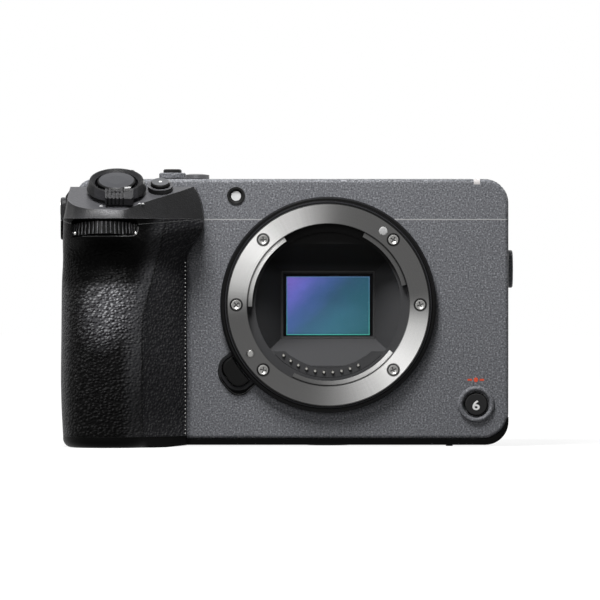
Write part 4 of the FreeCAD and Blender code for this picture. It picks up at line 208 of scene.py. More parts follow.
class Surface:
    """A node material on the principled shader, with short calls for the nodes that feed it.

    Places, sizes and depths are in millimetres, and a factor runs from 0 to 1.
    """

    def __init__(self, name, **levels):
        self.material = bpy.data.materials.new(name)
        self.material.use_nodes = True
        self.tree = self.material.node_tree
        self.shader = self.tree.nodes["Principled BSDF"]
        self.place = self.scaled(self.node("ShaderNodeTexCoord").outputs["Object"], 1 / MM)
        for socket, level in levels.items():
            self.set(socket.replace("_", " "), level)

    def node(self, kind, inputs=None, **settings):
        return add_node(self.tree, kind, inputs, **settings)

    def set(self, socket, value):
        """Feeds an input of the shader."""
        join(self.tree, value, self.shader.inputs[socket])

    def math(self, operation, first, second=0.0):
        return reckon(self.tree, operation, first, second)

    def plus(self, first, second):
        return self.math("ADD", first, second)

    def minus(self, first, second):
        return self.math("SUBTRACT", first, second)

    def times(self, first, second):
        return self.math("MULTIPLY", first, second)

    def over(self, first, second):
        return self.math("DIVIDE", first, second)

    def most(self, first, second):
        return self.math("MAXIMUM", first, second)

    def least(self, first, second):
        return self.math("MINIMUM", first, second)

    def length(self, across, up):
        """Distance in a plane from two offsets."""
        return self.math("SQRT", self.plus(self.times(across, across), self.times(up, up)))

    def vector(self, operation, first, second=(0.0, 0.0, 0.0), output=0):
        """Vector sum, difference and the like; output 1 is the number of a dot product or a length."""
        inputs = {0: first, 1: second}
        return self.node("ShaderNodeVectorMath", inputs, operation=operation).outputs[output]

    def scaled(self, vector, factor):
        inputs = {"Vector": vector, "Scale": factor}
        return self.node("ShaderNodeVectorMath", inputs, operation="SCALE").outputs[0]

    def axes(self):
        """The place on the object along X, Y and Z."""
        return self.node("ShaderNodeSeparateXYZ", {"Vector": self.place}).outputs

    def place_at(self, x=0.0, y=0.0):
        """A place made of two numbers, for a texture that follows them."""
        return self.node("ShaderNodeCombineXYZ", {"X": x, "Y": y}).outputs[0]

    def stretched(self, z, turn):
        """Places stretched upward and turned about Y, in degrees."""
        inputs = {"Vector": self.place, "Scale": (1.0, 1.0, z), "Rotation": (0.0, math.radians(turn), 0.0)}
        return self.node("ShaderNodeMapping", inputs).outputs[0]

    def facing(self):
        """The surface's own direction."""
        return self.node("ShaderNodeTexCoord").outputs["Normal"]

    def facing_along(self, axis):
        """Part of the surface's direction along an axis, from -1 to 1."""
        return self.node("ShaderNodeSeparateXYZ", {"Vector": self.facing()}).outputs[axis]

    def facing_deck(self):
        """1 where a face lies parallel to the sloping deck and looks up."""
        return self.spread(self.vector("DOT_PRODUCT", self.facing(), deck_normal(), output=1), 0.86, 0.95)

    def noise(self, size, detail=2.0, rough=0.5, place=None, output=0):
        """Noise whose features have a size; output 1 is its colour."""
        inputs = {"Vector": place or self.place, "Scale": 1 / size, "Detail": detail, "Roughness": rough}
        return self.node("ShaderNodeTexNoise", inputs).outputs[output]

    def grain(self, size):
        """Fine, rather rough noise of a moulded or blasted surface."""
        return self.noise(size, 3.0, 0.6)

    def pebbles(self, size, place):
        """Rounded pebbles: 1 on their tops and 0 in the gaps."""
        inputs = {"Vector": place, "Scale": 1 / size}
        distance = self.node("ShaderNodeTexVoronoi", inputs).outputs["Distance"]
        return self.spread(distance, 0.05, 0.8, 1.0, 0.0)

    def lines(self, value, pitch):
        """Thin lines at a pitch."""
        return self.spread(self.math("FRACT", self.over(value, pitch)), 0.80, 0.92)

    def spread(self, value, low, high, to_low=0.0, to_high=1.0, smooth=True):
        """Maps a value from one range to another, with flat ends."""
        inputs = {"Value": value, "From Min": low, "From Max": high, "To Min": to_low, "To Max": to_high}
        kind = "SMOOTHSTEP" if smooth else "LINEAR"
        return self.node("ShaderNodeMapRange", inputs, interpolation_type=kind).outputs[0]

    def band(self, value, start, full, fall, end):
        """1 from full to fall, and 0 outside start and end."""
        return self.times(self.spread(value, start, full), self.spread(value, end, fall))

    def mix(self, factor, first, second):
        inputs = {0: factor, 6: colour(first), 7: colour(second)}
        return self.node("ShaderNodeMix", inputs, data_type="RGBA").outputs[2]

    def partly(self, factor, share, first, second):
        """Mix in which the second colour never counts for more than a share."""
        return self.mix(self.times(factor, share), first, second)

    def bump(self, height, depth):
        """Relief of a height from 0 to 1 that stands for a depth."""
        return self.node("ShaderNodeBump", {"Height": height, "Distance": depth * MM}).outputs[0]

    def edge_wear_and_sheen(self, reach):
        """1 on sharp outer edges and 0 elsewhere, from the difference to a rounded normal; materials
        lighten these edges, partly as wear and partly as a painted edge highlight.
        """
        rounded = self.node("ShaderNodeBevel", {"Radius": reach * MM}, samples=4).outputs[0]
        plain = self.node("ShaderNodeNewGeometry").outputs["Normal"]
        flat = 0.985
        sharp = 0.86
        return self.spread(self.vector("DOT_PRODUCT", rounded, plain, output=1), flat, sharp)

    def grained(self, tone, grain, dull, glossy, depth):
        """Finishes a material whose gloss and relief follow its grain."""
        self.set("Base Color", tone)
        self.set("Roughness", self.spread(grain, 0.25, 0.75, dull, glossy))
        self.set("Normal", self.bump(grain, depth))
        return self.material


# Materials of the housing and the grip.


def speckled_paint():
    """Dark grey paint full of fine light and dark grains, a little shiny between them."""
    s = Surface("speckled_paint", Specular_IOR_Level=0.15)
    grains = s.noise(0.5, 3.0, 0.65)
    base = s.mix(s.noise(7.0), (0.086, 0.088, 0.096), (0.103, 0.105, 0.113))
    tone = s.mix(s.spread(grains, 0.36, 0.49, 1.0, 0.0), base, (0.044, 0.045, 0.050))
    tone = s.mix(s.spread(grains, 0.52, 0.68), tone, (0.208, 0.211, 0.225))
    # Sharp edges lighter: partly wear, partly a painted edge highlight.
    s.set("Base Color", s.partly(s.edge_wear_and_sheen(0.25), 0.5, tone, (0.20, 0.20, 0.21)))
    s.set("Roughness", s.spread(grains, 0.3, 0.7, 0.62, 0.42))
    s.set("Normal", s.bump(s.noise(0.3), 0.022))
    return s.material


def moulded(name, low, high, rough, shine):
    """Moulded plastic: a fine spark-eroded texture over slow changes of grey, lighter at sharp edges,
    partly from wear and partly as a painted edge highlight.
    """
    s = Surface(name, Specular_IOR_Level=shine)
    grain = s.grain(0.16)
    shade = s.mix(grain, s.mix(s.noise(5.0), low, high), high)
    tone = s.partly(s.edge_wear_and_sheen(0.16), 0.35, shade, 0.02 + 2.2 * high)
    return s.grained(tone, grain, rough + 0.1, rough - 0.08, 0.008)


def grip_leather():
    """Pebbled rubber: coarse on the front and finer on the flank, with a painted highlight on the bulge
    under the hand, painted glints and shade on the pebbles, painted shade in the crease and in the hollow
    under the head, and a painted sheen on the left side.
    """
    s = Surface("grip_leather", Specular_IOR_Level=0.02)
    x, _, z = s.axes()

    # Pebbles, a little bent by a slow swirl, with a painted highlight on the slope of each that faces the
    # light and painted shade on the slope away from it.
    tilted = s.stretched(1.35, 32)
    swirl = s.noise(1 / 0.62, place=tilted, output=1)
    moved = s.vector("ADD", tilted, s.scaled(swirl, 0.4))
    towards_light = s.vector("ADD", moved, (-0.12, -0.12, 0.3))
    coarse = s.pebbles(1.05, moved)
    fine = s.pebbles(0.62, moved)
    coarse_slope = s.minus(coarse, s.pebbles(1.05, towards_light))
    fine_slope = s.minus(fine, s.pebbles(0.62, towards_light))
    slope = s.plus(coarse_slope, s.times(fine_slope, 0.22))
    lit_slope_highlight = s.spread(slope, 0.0, 0.62)
    shaded_slope_shade = s.spread(slope, -0.05, -0.5)

    # Zones of the grip, from the crease that leans over above its bend; the crease and the recess under
    # the head get painted shade, the bulge under the hand a painted highlight, and the left side a painted
    # sheen.
    lean = s.times(s.most(s.minus(z, CREASE_BEND_Z), 0.0), CREASE_LEAN)
    past = s.minus(x, s.plus(lean, CREASE_X))
    flank = s.spread(past, -0.2, 0.3)
    band = s.times(s.spread(past, -6.8, -2.2), s.minus(1.0, flank))
    band = s.times(band, s.spread(z, 6.0, 34.0, 0.4, 1.0))
    # Painted shadow along the crease.
    crease = s.minus(1.0, s.spread(s.math("ABSOLUTE", past), 0.1, 0.6))
    front = s.times(s.spread(past, -1.5, -5.0), s.spread(z, 59.0, 54.5))
    # Painted highlight on the bulge under the hand.
    beside_palm_highlight = s.over(s.minus(x, PALM_HIGHLIGHT_AT[0]), PALM_HIGHLIGHT_HALF[0])
    above_palm_highlight = s.minus(s.minus(z, PALM_HIGHLIGHT_AT[1]), s.times(beside_palm_highlight, PALM_HIGHLIGHT_LEAN))
    palm_highlight = s.spread(s.length(beside_palm_highlight, s.over(above_palm_highlight, PALM_HIGHLIGHT_HALF[1])), 1.0, 0.15)
    # Painted shade in the finger recess under the head.
    recess_shade = s.times(s.spread(z, 45.0, 49.0), s.spread(past, 1.0, -6.0))
    # Painted sheen on the far left and on faces that look left, where light grazes the side.
    corner = s.spread(x, -73.5, -77.5)
    outside = s.spread(s.facing_along("X"), -0.80, -0.97)

    tone = s.mix(band, 0.0050, (0.033, 0.033, 0.0355))
    tone = s.mix(flank, tone, (0.018, 0.018, 0.0198))
    tone = s.partly(palm_highlight, 0.8, tone, (0.062, 0.062, 0.066))
    tone = s.mix(corner, tone, (0.012, 0.012, 0.0132))
    tone = s.mix(outside, tone, (0.032, 0.032, 0.0345))
    tone = s.partly(crease, 0.6, tone, 0.002)
    lit = s.mix(s.most(s.most(band, flank), outside), 0.022, 0.068)
    lit = s.mix(palm_highlight, lit, (0.235, 0.235, 0.242))
    tone = s.partly(lit_slope_highlight, s.spread(front, 0.0, 1.0, 0.7, 0.9), tone, lit)
    tone = s.partly(shaded_slope_shade, s.spread(front, 0.0, 1.0, 0.55, 0.8), tone, 0.0015)
    s.set("Base Color", s.partly(recess_shade, 0.9, tone, 0.0005))
    s.set("Roughness", s.spread(s.noise(0.5), 0.3, 0.7, 0.42, 0.28))
    height = s.times(coarse, s.spread(front, 0.0, 1.0, 0.15, 0.8))
    s.set("Normal", s.bump(s.plus(height, s.times(fine, 0.3)), 0.2))
    return s.material


def head_pebbles(s):
    """Small pebbles of the grip's head, slanted like those of the rubber."""
    return s.pebbles(0.5, s.stretched(1.3, 30))


def head_plastic(name, shine, edge, place_tone):
    """Finely pebbled plastic of the grip's head; place_tone lightens or darkens it by place."""
    s = Surface(name, Specular_IOR_Level=shine)
    small = head_pebbles(s)
    grain = s.grain(0.25)
    tone = s.mix(s.noise(5.0), 0.0075, (0.0115, 0.0115, 0.0122))
    tone = place_tone(s, tone)
    # Sharp edges take the edge tone: partly wear, partly a painted edge highlight.
    tone = s.partly(s.edge_wear_and_sheen(0.16), 0.6, tone, edge)
    s.set("Base Color", s.partly(small, 0.35, tone, s.mix(grain, tone, (0.030, 0.030, 0.032))))
    s.set("Roughness", s.spread(grain, 0.25, 0.75, 0.52, 0.34))
    s.set("Normal", s.bump(s.plus(s.times(small, 0.7), s.times(grain, 0.3)), 0.05))
    return s.material


def deck_tone(s, tone):
    """Painted light where the head faces up, and a painted highlight on the ridge over the dial."""
    upward = s.facing_along("Z")
    x, _, z = s.axes()
    # Painted light on faces that look up.
    tone = s.mix(s.spread(upward, 0.25, 0.72), tone, (0.014, 0.014, 0.0150))
    tone = s.mix(s.spread(upward, 0.80, 0.87), tone, (0.037, 0.037, 0.040))
    # Painted highlight under the ridge's edge, over the dial.
    beside = s.over(s.minus(x, RIDGE_HIGHLIGHT_AT[0]), RIDGE_HIGHLIGHT_HALF[0])
    above = s.over(s.minus(z, RIDGE_HIGHLIGHT_AT[1]), RIDGE_HIGHLIGHT_HALF[1])
    ridge_highlight = s.times(s.spread(s.length(beside, above), 1.0, 0.1), s.spread(upward, 0.80, 0.70))
    return s.mix(ridge_highlight, tone, s.mix(head_pebbles(s), (0.046, 0.046, 0.049), (0.130, 0.130, 0.135)))


def lever_tone(s, tone):
    """Painted shade on faces that look up like the deck, a lighter tab, and painted shade in the grooves
    that cross it.
    """
    x, y, _ = s.axes()
    along = s.over(s.minus(x, LEVER_GROOVE_START), LEVER_GROOVE_PITCH)
    in_pitch = s.math("FRACT", along)
    # Painted shade in the grooves across the tab.
    groove_shade = s.band(in_pitch, 0.0, 0.10, 0.38, 0.50)
    grooved = s.times(s.math("GREATER_THAN", along, 0.0), s.math("LESS_THAN", along, LEVER_GROOVES))
    grooved = s.times(grooved, s.spread(y, -43.8, -44.1))
    tab = s.spread(y, -44.6, -45.2)
    tone = s.mix(tab, tone, (0.024, 0.024, 0.026))
    # Painted shade on faces that look up like the deck.
    tone = s.mix(s.facing_deck(), tone, s.mix(tab, 0.003, 0.008))
    return s.mix(s.times(groove_shade, grooved), tone, 0.0012)


def dial_plastic(name, centre, teeth, root, plane):
    """Black plastic of a toothed dial, with a painted highlight in patches along the tips of the teeth."""
    s = Surface(name, Specular_IOR_Level=0.14)
    places = s.axes()
    across = s.minus(places[plane[0]], centre[0])
    up = s.minus(places[plane[1]], centre[1])
    along = s.times(s.math("ARCTAN2", up, across), teeth / (2 * math.pi))
    off_tip = s.math("ABSOLUTE", s.minus(s.math("FRACT", s.plus(along, 0.5)), 0.5))
    # Painted highlight along the tips of the teeth, broken into patches.
    tip_highlight = s.times(s.spread(off_tip, 0.16, 0.04), s.spread(s.length(across, up), root, root + 0.3))
    patches = s.spread(s.noise(0.9), 0.35, 0.65, 0.35, 1.0)
    grain = s.grain(0.2)
    tone = s.mix(s.times(tip_highlight, patches), s.mix(grain, 0.002, 0.005), (0.095, 0.095, 0.100))
    return s.grained(tone, grain, 0.36, 0.24, 0.006)


def record_button_plastic():
    """Front record button: dark grey face with a painted highlight in a ring, and painted shade in black
    beyond its rounded edge.
    """
    s = Surface("record_button_black", Specular_IOR_Level=0.1)
    x, _, z = s.axes()
    radius = s.length(s.minus(x, REC_AT[0]), s.minus(z, REC_AT[1]))
    grain = s.grain(0.2)
    tone = s.mix(grain, 0.010, (0.0140, 0.0140, 0.0148))
    # Painted highlight in a ring on the face.
    tone = s.mix(s.band(radius, *REC_RING_HIGHLIGHT), tone, 0.026)
    # Painted shade beyond the face's edge, in the gap round the button.
    tone = s.mix(s.spread(radius, 3.15, 3.25), tone, 0.001)
    return s.grained(tone, grain, 0.45, 0.32, 0.006)


def cap_plastic(name, at, radius, low, high):
    """Cap of a button on the sloping deck: satin grey on top, black round its edge and down its side."""
    s = Surface(name, Specular_IOR_Level=0.10)
    offset = s.vector("SUBTRACT", s.place, on_deck(*at).translation)
    height = s.vector("DOT_PRODUCT", offset, deck_normal(), output=1)
    reach = s.vector("LENGTH", offset, output=1)
    off_axis = s.math("SQRT", s.minus(s.times(reach, reach), s.times(height, height)))
    top = s.times(s.facing_deck(), s.spread(off_axis, radius + 0.05, radius - 0.08))
    grain = s.grain(0.3)
    shade = s.mix(s.noise(9.0), low, s.mix(grain, low, high))
    return s.grained(s.mix(top, 0.003, shade), grain, 0.48, 0.34, 0.008)


# Materials of the mount, the sensor and the metal parts.


def ring_steel():
    """Turned steel of the bayonet ring: fine rings, painted reflections in two bright sectors, and painted
    shade round the screws, in the groove at the throat and on the outer edge.
    """
    s = Surface("turned_steel", Metallic=1.0, Anisotropic=0.9, Anisotropic_Rotation=0.25)
    x, _, z = s.axes()
    up = s.minus(z, LENS_Z)
    radius = s.length(x, up)
    turn = s.math("ARCTAN2", up, x)
    around = s.times(turn, 20.0)
    rings = s.noise(0.16, 4.0, 0.75, s.place_at(radius))
    strokes = s.noise(0.22, 3.0, 0.7, s.place_at(radius, around))
    fan = s.noise(0.5, 2.0, 0.6, s.place_at(0.0, around))
    turned = s.plus(s.times(rings, 0.55), s.times(strokes, 0.45))

    # Painted reflection in two bright sectors opposite each other, with a little noise.
    half_turn = s.math("FRACT", s.plus(s.over(turn, math.pi), 1 - RING_SHEEN_START / 180))
    sheen = s.least(s.spread(half_turn, 0.40, 0.76), s.spread(half_turn, 0.99, 0.78))
    sheen = s.plus(sheen, s.times(s.minus(fan, 0.5), 0.10))
    tone = s.mix(s.spread(sheen, 0.0, 1.0), (0.103, 0.102, 0.101), (0.55, 0.548, 0.54))
    tone = s.scaled(tone, s.spread(turned, 0.35, 0.65, 0.86, 1.08))

    # Painted shade round the screws, in the groove at the throat and on the outer edge.
    beside = s.math("ABSOLUTE", x)
    above = s.math("ABSOLUTE", up)
    slanted = SCREW_CIRCLE_R * math.sqrt(0.5)
    level_screw = s.length(s.minus(beside, SCREW_CIRCLE_R), above)
    slanted_screw = s.length(s.minus(beside, slanted), s.minus(above, slanted))
    sink_shade = s.spread(s.least(level_screw, slanted_screw), 2.05, 1.85)
    throat_groove_shade = s.band(radius, *THROAT_GROOVE_SHADE)
    outer_edge_shade = s.spread(radius, 29.10, 29.22)
    dark = s.most(s.times(sink_shade, 0.8), s.times(throat_groove_shade, 0.7))
    dark = s.most(dark, s.times(outer_edge_shade, 0.93))
    s.set("Base Color", s.mix(dark, tone, 0.02))
    s.set("Roughness", s.spread(turned, 0.3, 0.7, 0.44, 0.32))
    s.set("Normal", s.bump(turned, 0.004))
    s.set("Tangent", s.node("ShaderNodeTangent", direction_type="RADIAL", axis="Y").outputs[0])
    return s.material


def collar_plastic():
    """Black plastic of the mount's collar with painted highlights on a ridge and on the rim all round."""
    s = Surface("collar_black", Specular_IOR_Level=0.08)
    x, _, z = s.axes()
    radius = s.length(x, s.minus(z, LENS_Z))
    grain = s.grain(0.2)
    tone = s.mix(grain, 0.002, 0.004)
    # Painted highlights on the ridge and on the rim.
    tone = s.partly(s.band(radius, *COLLAR_RIDGE_HIGHLIGHT), 0.9, tone, (0.018, 0.018, 0.020))
    tone = s.partly(s.spread(radius, 30.85, 31.05), 0.8, tone, (0.010, 0.010, 0.011))
    return s.grained(tone, grain, 0.36, 0.24, 0.006)


def baffle_black():
    """Flocked black of the light baffle, with painted shade towards the top of the chamber."""
    s = Surface("baffle_black", Specular_IOR_Level=0.04)
    _, _, z = s.axes()
    grain = s.grain(0.16)
    middle = s.mix(grain, 0.034, (0.048, 0.048, 0.051))
    top = s.mix(grain, 0.008, 0.012)
    bottom = s.mix(grain, 0.034, (0.045, 0.045, 0.048))
    # Painted shade towards the top of the chamber.
    tone = s.mix(s.spread(z, 49.0, 54.0), middle, top)
    tone = s.mix(s.spread(z, 32.5, 30.5), tone, bottom)
    return s.grained(tone, grain, 0.7, 0.55, 0.008)


def screw_steel():
    """Steel of small screws: bright rims, partly wear and partly a painted highlight, and dark recesses
    painted as shade where no light gets in.
    """
    s = Surface("screw_steel", Metallic=1.0)
    grain = s.grain(0.12)
    openness = s.node("ShaderNodeAmbientOcclusion", {"Distance": 0.7 * MM}, samples=6).outputs["AO"]
    tone = s.mix(grain, (0.21, 0.208, 0.202), (0.27, 0.268, 0.260))
    tone = s.partly(s.edge_wear_and_sheen(0.12), 0.6, tone, (0.42, 0.415, 0.405))
    # Painted shade where the surface is shut in.
    tone = s.mix(s.spread(openness, 0.88, 0.35), tone, 0.045)
    return s.grained(tone, grain, 0.46, 0.36, 0.006)


def cast_metal(name, tone, rough, size=0.25, depth=0.01):
    """Satin metal with a fine blasted grain and brighter edges, partly wear and partly a painted
    highlight.
    """
    s = Surface(name, Metallic=1.0)
    grain = s.grain(size)
    dim = [0.8 * channel for channel in tone]
    bright = [0.05 + 1.25 * channel for channel in tone]
    shade = s.partly(s.edge_wear_and_sheen(0.2), 0.6, s.mix(grain, dim, tone), bright)
    return s.grained(shade, grain, rough + 0.08, rough - 0.06, depth)


def plain_gloss(name, low, high, rough, shine):
    """Smooth part with faint clouds in its shade and gloss."""
    s = Surface(name, Specular_IOR_Level=shine)
    clouds = s.grain(1.4)
    s.set("Base Color", s.mix(clouds, low, high))
    s.set("Roughness", s.spread(clouds, 0.3, 0.7, rough + 0.05, rough - 0.04))
    s.set("Normal", s.bump(s.noise(0.5), 0.002))
    return s.material


def sensor_colours():
    """Sensor face: a painted iridescent sheen of violet, blue and teal across the active area, a bright
    hairline and a black margin.
    """
    s = Surface("sensor_colours", Metallic=0.5, Specular_IOR_Level=0.1)
    x, _, z = s.axes()
    up = s.minus(z, ACTIVE_MIDDLE_Z)
    half_x, half_z = ACTIVE_HALF
    across = s.spread(x, -half_x, half_x, smooth=False)
    down = s.spread(up, half_z, -half_z, smooth=False)
    way = s.plus(s.times(across, 0.6), s.times(down, 0.4))
    way = s.plus(way, s.times(s.minus(s.noise(4.0, 1.0), 0.5), 0.10))

    # Painted iridescent sheen: violet at one corner to teal at the other.
    violet = (0.37, 0.26, 1.0)
    deep_teal = (0.015, 0.135, 0.145)
    between = {
        0.18: (0.22, 0.245, 0.88),
        0.34: (0.095, 0.19, 0.50),
        0.50: (0.050, 0.165, 0.275),
        0.66: (0.042, 0.190, 0.260),
    }
    ramp = s.node("ShaderNodeValToRGB", {"Fac": way})
    stops = ramp.color_ramp.elements
    stops[0].color = colour(violet)
    stops[1].color = colour(deep_teal)
    for at, tone in between.items():
        stops.new(at).color = colour(tone)

    side_gap = s.minus(half_x, s.math("ABSOLUTE", x))
    end_gap = s.minus(half_z, s.math("ABSOLUTE", up))
    gap = s.least(side_gap, end_gap)
    hairline = s.minus(1.0, s.spread(gap, 0.18, 0.28))
    bright = s.mix(down, (0.20, 0.42, 0.75), (0.10, 0.62, 0.48))
    face = s.partly(hairline, 0.8, ramp.outputs[0], bright)
    s.set("Base Color", s.mix(s.spread(gap, -0.05, 0.03), (0.0015, 0.0015, 0.002), face))
    fine = s.noise(0.05)
    s.set("Roughness", s.spread(fine, 0.3, 0.7, 0.32, 0.22))
    s.set("Normal", s.bump(fine, 0.0006))
    return s.material


def coated_glass():
    """Clear filter glass with a faint coating tint and fine dust that dulls it slightly."""
    s = Surface("coated_glass", Alpha=0.06, Specular_IOR_Level=0.1)
    dust = s.noise(0.8, 3.0, 0.7)
    s.set("Base Color", s.mix(dust, (0.20, 0.22, 0.42), (0.24, 0.27, 0.46)))
    s.set("Roughness", s.spread(dust, 0.6, 0.8, 0.05, 0.12))
    return s.material


def board_green():
    """Circuit board: green mask over copper tracks that show as a faint relief."""
    s = Surface("board_green", Specular_IOR_Level=0.4)
    x, _, z = s.axes()
    tracks = s.most(s.lines(x, 1.3), s.lines(z, 2.1))
    tracks = s.times(tracks, s.spread(s.noise(3.0, 1.0), 0.45, 0.55))
    s.set("Base Color", s.mix(tracks, (0.008, 0.07, 0.035), (0.02, 0.16, 0.07)))
    s.set("Roughness", s.spread(s.noise(0.6), 0.3, 0.7, 0.45, 0.3))
    s.set("Normal", s.bump(tracks, 0.03))
    return s.material


PAINT = speckled_paint()
PLASTIC = moulded("matt_black_plastic", 0.006, 0.010, 0.5, 0.08)
BASE = moulded("base_black_plastic", 0.001, 0.002, 0.4, 0.03)
SATIN = moulded("satin_black_plastic", 0.002, 0.004, 0.34, 0.07)
PARTING = moulded("parting_line_grey", 0.21, 0.25, 0.4, 0.2)
RIM = moulded("rim_grey", 0.035, 0.045, 0.35, 0.2)
SEAM = moulded("seam_grey", 0.03, 0.04, 0.5, 0.15)
DECK = head_plastic("deck_black_plastic", 0.12, (0.150, 0.150, 0.155), deck_tone)
LEVER = head_plastic("lever_black_plastic", 0.05, (0.070, 0.070, 0.073), lever_tone)
SHUTTER = cap_plastic("shutter_grey", (0.0, 0.0), 5.2, (0.014, 0.0145, 0.017), (0.022, 0.0225, 0.025))
DECK_CAP = cap_plastic("deck_button_grey", DECK_BUTTON_AT, 2.75,
                       (0.040, 0.041, 0.044), (0.052, 0.053, 0.057))
REC_BUTTON = record_button_plastic()
LEATHER = grip_leather()
COLLAR = collar_plastic()
STEEL = ring_steel()
BAFFLE = baffle_black()
SCREW = screw_steel()
SILVER = cast_metal("satin_silver", (0.40, 0.40, 0.39), 0.3)
ALLOY = cast_metal("cast_alloy", (0.40, 0.40, 0.42), 0.48, 0.4, 0.02)
ANODISED = cast_metal("dark_anodised", (0.13, 0.13, 0.135), 0.45, 0.3, 0.012)
GOLD = cast_metal("plated_contact", (0.42, 0.41, 0.385), 0.25)
SENSOR = sensor_colours()
GLASS = coated_glass()
BOARD = board_green()
SCREEN = plain_gloss("dark_screen_glass", (0.004, 0.004, 0.006), (0.008, 0.008, 0.011), 0.08, 0.35)
WHITE = plain_gloss("milky_window", (0.38, 0.385, 0.39), 0.47, 0.3, 0.3)
LAMP = plain_gloss("pale_lamp_lens", (0.30, 0.285, 0.28), (0.40, 0.385, 0.38), 0.25, 0.3)
DOT = plain_gloss("index_enamel", 0.25, 0.34, 0.35, 0.2)
MARK = plain_gloss("white_print", 0.50, 0.60, 0.5, 0.2)
FAINT_MARK = plain_gloss("grey_print", 0.20, 0.28, 0.5, 0.1)
RED_MARK = plain_gloss("red_print", (0.40, 0.045, 0.02), (0.52, 0.07, 0.03), 0.5, 0.2)

LOOKS = {
    PAINT: ("front_cover", "top_cover", "rear_cover", "port_panel", "button_rings"),
    PLASTIC: (
        "custom_button", "record_button", "wheel_button", "menu_button", "function_button",
        "playback_button", "delete_button", "audio_cover", "hdmi_cover", "usb_cover", "battery_pack",
        "battery_door", "battery_latch", "fan_rotor", "monitor_shell", "joystick_gimbal",
        "light_sensor_bezel",
    ),
    BASE: ("base_plate",),
    SATIN: ("release_button",),
    DECK: ("grip_deck",),
    LEVER: ("zoom_lever",),
    SHUTTER: ("shutter_button",),
    DECK_CAP: ("deck_button",),
    REC_BUTTON: ("front_record_button",),
    LEATHER: ("grip_shell", "card_door", "joystick"),
    COLLAR: ("mount_collar",),
    STEEL: ("bayonet_ring",),
    BAFFLE: ("light_baffle", "contact_block"),
    SCREW: ("lock_pin",),
    SILVER: (
        "mount_screws", "thread_inserts", "tripod_socket", "strap_lugs", "case_screws", "port_sockets",
        "monitor_hinge",
    ),
    ALLOY: ("chassis", "sensor_carrier", "sensor_yoke", "cooling_unit"),
    ANODISED: ("power_switch", "accessory_shoe"),
    GOLD: ("contact_pins",),
    SENSOR: ("image_sensor",),
    GLASS: ("sensor_glass",),
    BOARD: ("main_board",),
    SCREEN: ("monitor_glass",),
    WHITE: ("light_sensor_window",),
    LAMP: ("tally_lamp",),
}
for dial, (centre, teeth, root, plane) in DIALS.items():
    LOOKS[dial_plastic(dial + "_black", centre, teeth, root, plane)] = (dial,)
for look, nodes in LOOKS.items():
    for node in nodes:
        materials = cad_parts[node].data.materials
        materials.clear()
        materials.append(look)


# Meshes of the pieces that scene.py adds.


class Build:
    """Corners and faces of one piece, gathered from simple closed forms."""

    def __init__(self):
        self.corners = []
        self.faces = []

    def add(self, corners, faces):
        first = len(self.corners)
        self.corners += [tuple(corner) for corner in corners]
        self.faces += [[first + index for index in face] for face in faces]

    def turned(self, profile, place, segments=48):
        """Closed form turned from (radius, height) points about +Z of a placement."""
        corners = []
        rings = []
        for radius, height in profile:
            count = segments if radius else 1
            rings.append(range(len(corners), len(corners) + count))
            for index in range(count):
                turn = 2 * math.pi * index / segments
                corners.append(place @ Vector((radius * math.cos(turn), radius * math.sin(turn), height)))
        pairs = list(zip(rings, rings[1:]))
        if profile[0][0] and profile[-1][0]:
            pairs.append((rings[-1], rings[0]))
        faces = []
        for low, high in pairs:
            for index in range(segments):
                after = (index + 1) % segments
                face = [low[index % len(low)], low[after % len(low)]]
                face += [high[after % len(high)], high[index % len(high)]]
                faces.append(list(dict.fromkeys(face)))
        self.add(corners, [face for face in faces if len(face) > 2])

    def through(self, sections):
        """Form through sections with the same number of corners, closed at both ends."""
        count = len(sections[0])
        faces = []
        for first in range(0, count * (len(sections) - 1), count):
            for index in range(count):
                after = (index + 1) % count
                faces.append([first + index, first + after, first + count + after, first + count + index])
        last = count * (len(sections) - 1)
        faces += [list(range(count)), list(range(last, last + count))]
        self.add([corner for section in sections for corner in section], faces)

    def prism(self, outline, place, low, high, taper=1.0):
        """Upright form on a flat outline, scaled about the outline's middle at its high end."""
        middle_x = sum(x for x, _ in outline) / len(outline)
        middle_y = sum(y for _, y in outline) / len(outline)
        sections = []
        for height, scale in ((low, 1.0), (high, taper)):
            section = []
            for x, y in outline:
                at = (middle_x + (x - middle_x) * scale, middle_y + (y - middle_y) * scale, height)
                section.append(place @ Vector(at))
            sections.append(section)
        self.through(sections)

    def wire(self, points, radius, sides=8):
        """Round wire along points, closed at both ends."""
        points = [Vector(point) for point in points]
        sections = []
        for index, point in enumerate(points):
            before = points[max(index - 1, 0)]
            after = points[min(index + 1, len(points) - 1)]
            ahead = (after - before).normalized()
            side = ahead.cross(Vector((0.0, 1.0, 0.0))).normalized()
            up = side.cross(ahead)
            section = []
            for corner in range(sides):
                turn = 2 * math.pi * corner / sides
                section.append(point + side * (radius * math.cos(turn)) + up * (radius * math.sin(turn)))
            sections.append(section)
        self.through(sections)

    def mesh(self, name):
        """Mesh in metres with its normals outward."""
        made = bpy.data.meshes.new(name)
        made.from_pydata([Vector(corner) * MM for corner in self.corners], [], self.faces)
        shape = bmesh.new()
        shape.from_mesh(made)
        bmesh.ops.remove_doubles(shape, verts=shape.verts, dist=1e-7)
        bmesh.ops.recalc_face_normals(shape, faces=shape.faces)
        shape.to_mesh(made)
        shape.free()
        return made

    def piece(self, name, body, look, slot, smooth_angle=35.0):
        """New piece that rides on a body."""
        made = bpy.data.objects.new(name, self.mesh(name))
        bpy.context.scene.collection.objects.link(made)
        made.data.materials.append(look)
        smooth(made, smooth_angle)
        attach(made, body)
        return made


def smooth(piece, angle):
    """Smooth shading up to an angle between faces, in degrees."""
    piece.data.shade_smooth()
    piece.data.set_sharp_from_angle(angle=math.radians(angle))


